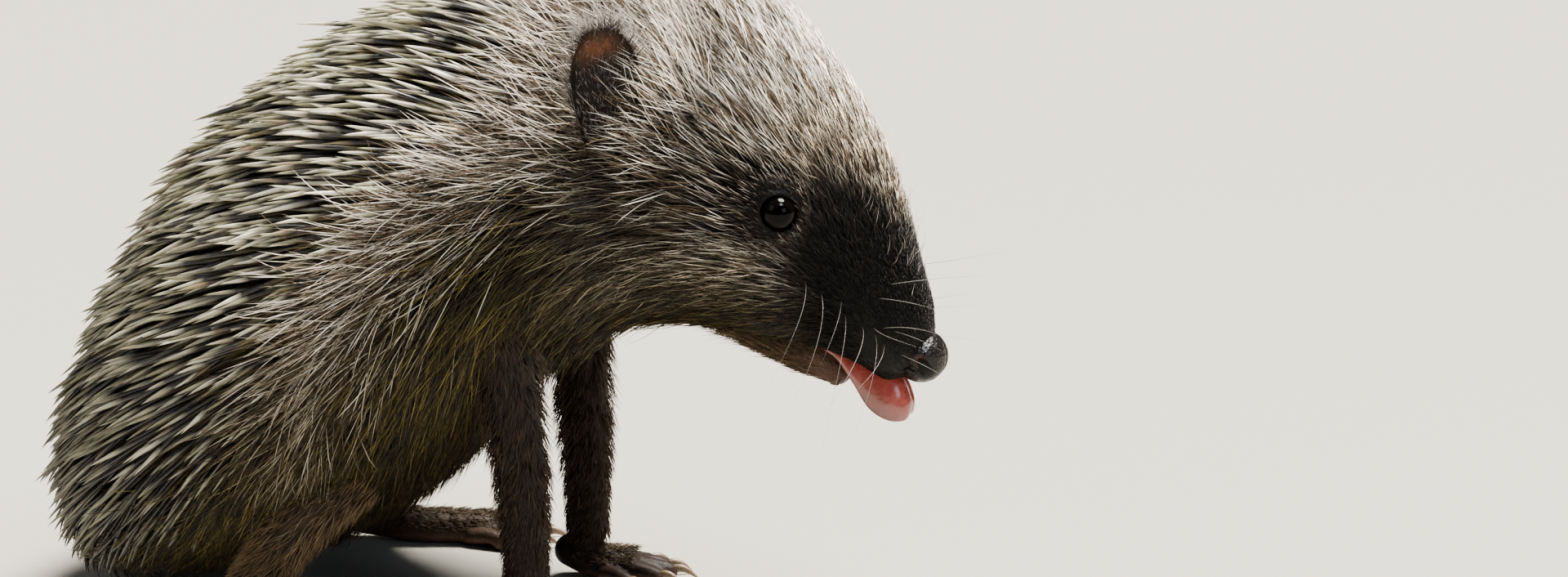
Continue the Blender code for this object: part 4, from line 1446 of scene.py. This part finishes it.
# %% [markdown]
# ## Nose pad
# The nose is bare black leather, always wet, with a furrow down the middle, a nostril at
# each side that shows some red inside, and a slit that runs back from it. It is an
# ellipsoid whose surface is pushed in along those features; fine pebbles, and the wet
# film that is smoother in spots, come from the material.
# %% Nose
grid = ball_grid(110, 140)
x, y, z = grid[..., 0], np.abs(grid[..., 1]), grid[..., 2]
tilt = x - 0.30 + 0.45 * (z + 0.12)
hole = np.exp(-(tilt / 0.20) ** 2 - ((z + 0.14) / 0.32) ** 2) * ramp(y, 0.4, 0.75)
slit = (np.exp(-((z + 0.40 + 0.55 * (x - 0.1)) / 0.12) ** 2) * ramp(y, 0.45, 0.8)
        * (1 - ramp(x, 0.25, 0.5)))
furrow = np.exp(-(grid[..., 1] / 0.09) ** 2) * ramp(x, 0.2, 0.7) * ramp(0.4 - z, -0.4, 0.5)
wing = np.exp(-((x - 0.25) / 0.45) ** 2 - ((z - 0.22) / 0.25) ** 2) * ramp(y, 0.4, 0.8)
size = 1 - 0.36 * hole - 0.12 * slit - 0.10 * furrow + 0.07 * wing
p = NOSE_CENTRE + grid * NOSE_RADII * size[..., None]
red = np.clip(hole * 1.3 - 0.2, 0, 1)[..., None]
colour = tint("#0E0B0A") * (1 - red) + tint("#64190F") * red

LEATHER, tree, place = new_material("wet_nose_leather")
pebble = node(tree, "ShaderNodeTexVoronoi", [("Vector", place)], Scale=1 / (0.42 * MM),
              feature="SMOOTH_F1").outputs["Distance"]
drops = node(tree, "ShaderNodeTexNoise", [("Vector", place)], Scale=1 / (0.8 * MM),
             Detail=2.0).outputs["Fac"]
surface(tree, None, (drops, *MOST, 0.22, 0.5), (pebble, 0.9, 0.16, True),
        IOR=1.4, Specular_IOR_Level=0.26)
nose = shapes("nose_pad", [p], LEATHER, [colour])
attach(nose, "root")
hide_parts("nose")
print("nose pad", p.reshape(-1, 3).min(0), p.reshape(-1, 3).max(0))

# %% [markdown]
# ## Tongue
# The tongue hangs out of the open mouth, soft and wet, red with a paler rim; where its
# sides hang below the crest it is painted darker, as painted shade. As it laps its sides
# hang down like a saddle. It is a profile carried along a path: a thin strip bent down
# along an arc at both sides, with a shallow furrow, rounded off at the tip. Light goes a
# little way into such flesh, so the shader scatters some below the surface.
# %% Tongue
TONGUE = np.array([
    # crest x, crest z, edge x, edge z, half width
    (49.0, 45.8, 49.0, 45.2, 2.4), (54.0, 44.6, 54.0, 43.4, 2.8), (57.8, 43.2, 57.0, 39.6, 3.2),
    (61.3, 41.9, 59.6, 35.6, 3.4), (64.0, 39.8, 62.4, 33.8, 3.3), (65.1, 37.2, 64.8, 33.6, 2.3),
    (65.4, 35.4, 65.3, 34.4, 0.1)])
at = np.linspace(0, len(TONGUE) - 1, 120)
row = spline(TONGUE, at)[:, None]
phi = np.linspace(0, 2 * np.pi, 96, endpoint=False)[None]
turn = np.cos(phi) * np.radians(88)
down = 1 - np.cos(turn)
lean, fall, half = row[..., 2] - row[..., 0], row[..., 3] - row[..., 1], row[..., 4]
middle = np.stack([row[..., 0] + lean * down, half * np.sin(turn),
                   row[..., 1] + fall * down], axis=-1)
lengthwise = np.gradient(middle, axis=0)
crosswise = np.stack([lean * np.sin(turn), half * np.cos(turn), fall * np.sin(turn)], axis=-1)
face = unit(np.cross(lengthwise, crosswise))
face = unit(face + np.array([0.0, 0.0, 1e-3]))  # where the strip has no width, up
ends = np.sqrt(1 - np.clip((at - 5.3) / 0.7, 0, 1) ** 2)[:, None] * ramp(at, -0.1, 0.3)[:, None]
furrow = 0.5 * np.exp(-(np.cos(phi) / 0.14) ** 2) * (np.sin(phi) > 0)
off = 0.8 * ends * (np.sign(np.sin(phi)) * np.abs(np.sin(phi)) ** 0.6 - furrow)
p = middle + face * off[..., None]
rim = np.clip(np.abs(np.cos(phi)) ** 7 + ramp(at, 5.0, 6.0)[:, None], 0, 1)[..., None]
# Painted shade: the strip is darker the further it hangs below its crest.
under = ramp(row[..., 1] - middle[..., 2], 1.0, 6.5)[..., None]
colour = tint("#8A3A32") * (1 - rim) + tint("#8F635A") * rim
colour = colour * (1 - under) + tint("#6A3C34") * under

FLESH, tree, place = new_material("wet_tongue_flesh")
buds = node(tree, "ShaderNodeTexVoronoi", [("Vector", place)], Scale=1 / (0.42 * MM),
            feature="SMOOTH_F1").outputs["Distance"]
wet = node(tree, "ShaderNodeTexNoise", [("Vector", place)], Scale=1 / (1.2 * MM),
           Detail=2.0).outputs["Fac"]
surface(tree, (wet, *ALL, 0.86, 1.12), (wet, *MOST, 0.16, 0.38),
        (buds, 0.4, 0.06, True), IOR=1.4, Subsurface_Weight=0.25, Subsurface_Scale=1.2 * MM,
        Subsurface_Radius=(1.0, 0.35, 0.25), Coat_Weight=0.5, Coat_Roughness=0.1)
tongue = shapes("tongue_flesh", [p], FLESH, [colour])
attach(tongue, "root")
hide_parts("tongue")
print("tongue", p.shape)

# %% [markdown]
# ## Claws
# Twenty horn claws, dark at the root and paler at the point, curve down to the ground.
# Each is a tapered tube along a bent path, narrower than high, with faint streaks of
# growth in the horn.
# %% Claws
CLAW, tree, place = new_material("claw_horn")
streak = node(tree, "ShaderNodeTexNoise", [("Vector", place)], Scale=1 / (0.3 * MM),
              Detail=3.0).outputs["Fac"]
surface(tree, (streak, *ALL, 0.7, 1.3), (streak, *ALL, 0.28, 0.5),
        (streak, 0.3, 0.03, False), IOR=1.54)
CLAW_RADII = [0.72, 0.66, 0.46, 0.16]
grids = [tube_rings(np.array(path) * [1, side, 1], CLAW_RADII, 12, 12, 0.8)
         for side in (1, -1) for path in claw_paths]
tipward = np.linspace(0, 1, len(grids[0]))[:, None, None] * np.ones((1, 12, 1))
colour = tint("#2A1D14") * (1 - tipward) + tint("#8A7358") * tipward
claws = shapes("claws", grids, CLAW, [colour] * len(grids))
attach(claws, "root")
print("claws:", len(grids))

# %% [markdown]
# ## Floor and light
# The model stands on a plain pale floor under a diffused skylight, which comes steeply
# from above and a little behind and rims the quills. A soft box above the head, on the
# side of the camera, lights the crown and the muzzle; two weak ones, to the rear and to
# the front, fill the shadows.
# %% Floor and lights
floor_mesh = bpy.data.meshes.new("floor")
floor_mesh.from_pydata([(-3, -3, 0), (3, -3, 0), (3, 3, 0), (-3, 3, 0)], [], [(0, 1, 2, 3)])
floor = bpy.data.objects.new("floor", floor_mesh)
bpy.context.scene.collection.objects.link(floor)
PAPER, tree, _ = new_material("matt_paper")
shader = node(tree, "ShaderNodeBsdfPrincipled", Base_Color=(*tint("#9A9890"), 1.0),
              Roughness=0.9)
node(tree, "ShaderNodeOutputMaterial", [("Surface", shader.outputs[0])])
floor_mesh.materials.append(PAPER)

world = bpy.data.worlds.new("studio")
bpy.context.scene.world = world
world.use_nodes = True
sky = world.node_tree.nodes["Background"].inputs
sky["Color"].default_value, sky["Strength"].default_value = (*tint("#E4EAF0"), 1.0), 0.09
MODEL_MIDDLE = np.array([0.0, 0.0, 50.0])


def look_at(made, place, target):
    """Puts a lamp or camera at a place in mm, pointing at the target: its own z axis
    points away from it, its x axis stays level."""
    back = unit(np.asarray(place, float) - target)
    right = unit(np.cross([0, 0, 1.0], back))
    up = np.cross(back, right)
    matrix = np.eye(4)
    matrix[:3] = np.stack([right, up, back, np.asarray(place, float) * MM], axis=1)
    made.matrix_world = Matrix(matrix.tolist())
    bpy.context.scene.collection.objects.link(made)


sky_light = bpy.data.lights.new("diffused_skylight", "SUN")
sky_light.angle, sky_light.energy = np.radians(26.0), 22.5
sky_light.color = tint("#FFF8EC")
look_at(bpy.data.objects.new("diffused_skylight", sky_light), (150, 160, 760), MODEL_MIDDLE)
for name, place, size, power, colour in (
        ("soft_box_key", (-350, -600, 600), 450, 1.3, "#FFFFFF"),
        ("soft_box_front", (650, -450, 350), 260, 1.2, "#DCE9FF"),
        ("soft_box_top", (380, -280, 760), 220, 8.5, "#E6F0FF")):
    lamp = bpy.data.lights.new(name, "AREA")
    lamp.shape, lamp.size, lamp.energy = "SQUARE", size * MM, power
    lamp.color = tint(colour)
    look_at(bpy.data.objects.new(name, lamp), place, MODEL_MIDDLE)
print("lights:", len(bpy.data.lights))

# %% [markdown]
# ## Camera
# It looks at the right side, a little from ahead and above. A lens of 150 mm from a metre
# away shows a small animal without the big nose that a short lens would give it. Its
# place is given from its target: azimuth is counted from the model's right side towards
# its head, elevation from the floor up.
# %% Camera
TARGET = np.array([45.5, 0.0, 52.8])
AZIMUTH, ELEVATION, DISTANCE = np.radians(15.0), np.radians(13.0), 1000.0
away = np.array([np.sin(AZIMUTH) * np.cos(ELEVATION), -np.cos(AZIMUTH) * np.cos(ELEVATION),
                 np.sin(ELEVATION)])
lens = bpy.data.cameras.new("camera")
lens.lens, lens.sensor_width, lens.clip_start = 150.0, 36.0, 50 * MM
camera = bpy.data.objects.new("camera", lens)
look_at(camera, TARGET + away * DISTANCE, TARGET)
bpy.context.scene.camera = camera
print("camera at", TARGET + away * DISTANCE)

# %% [markdown]
# ## Finish
# The view layer is brought up to date.
# %% Finish
bpy.context.view_layer.update()
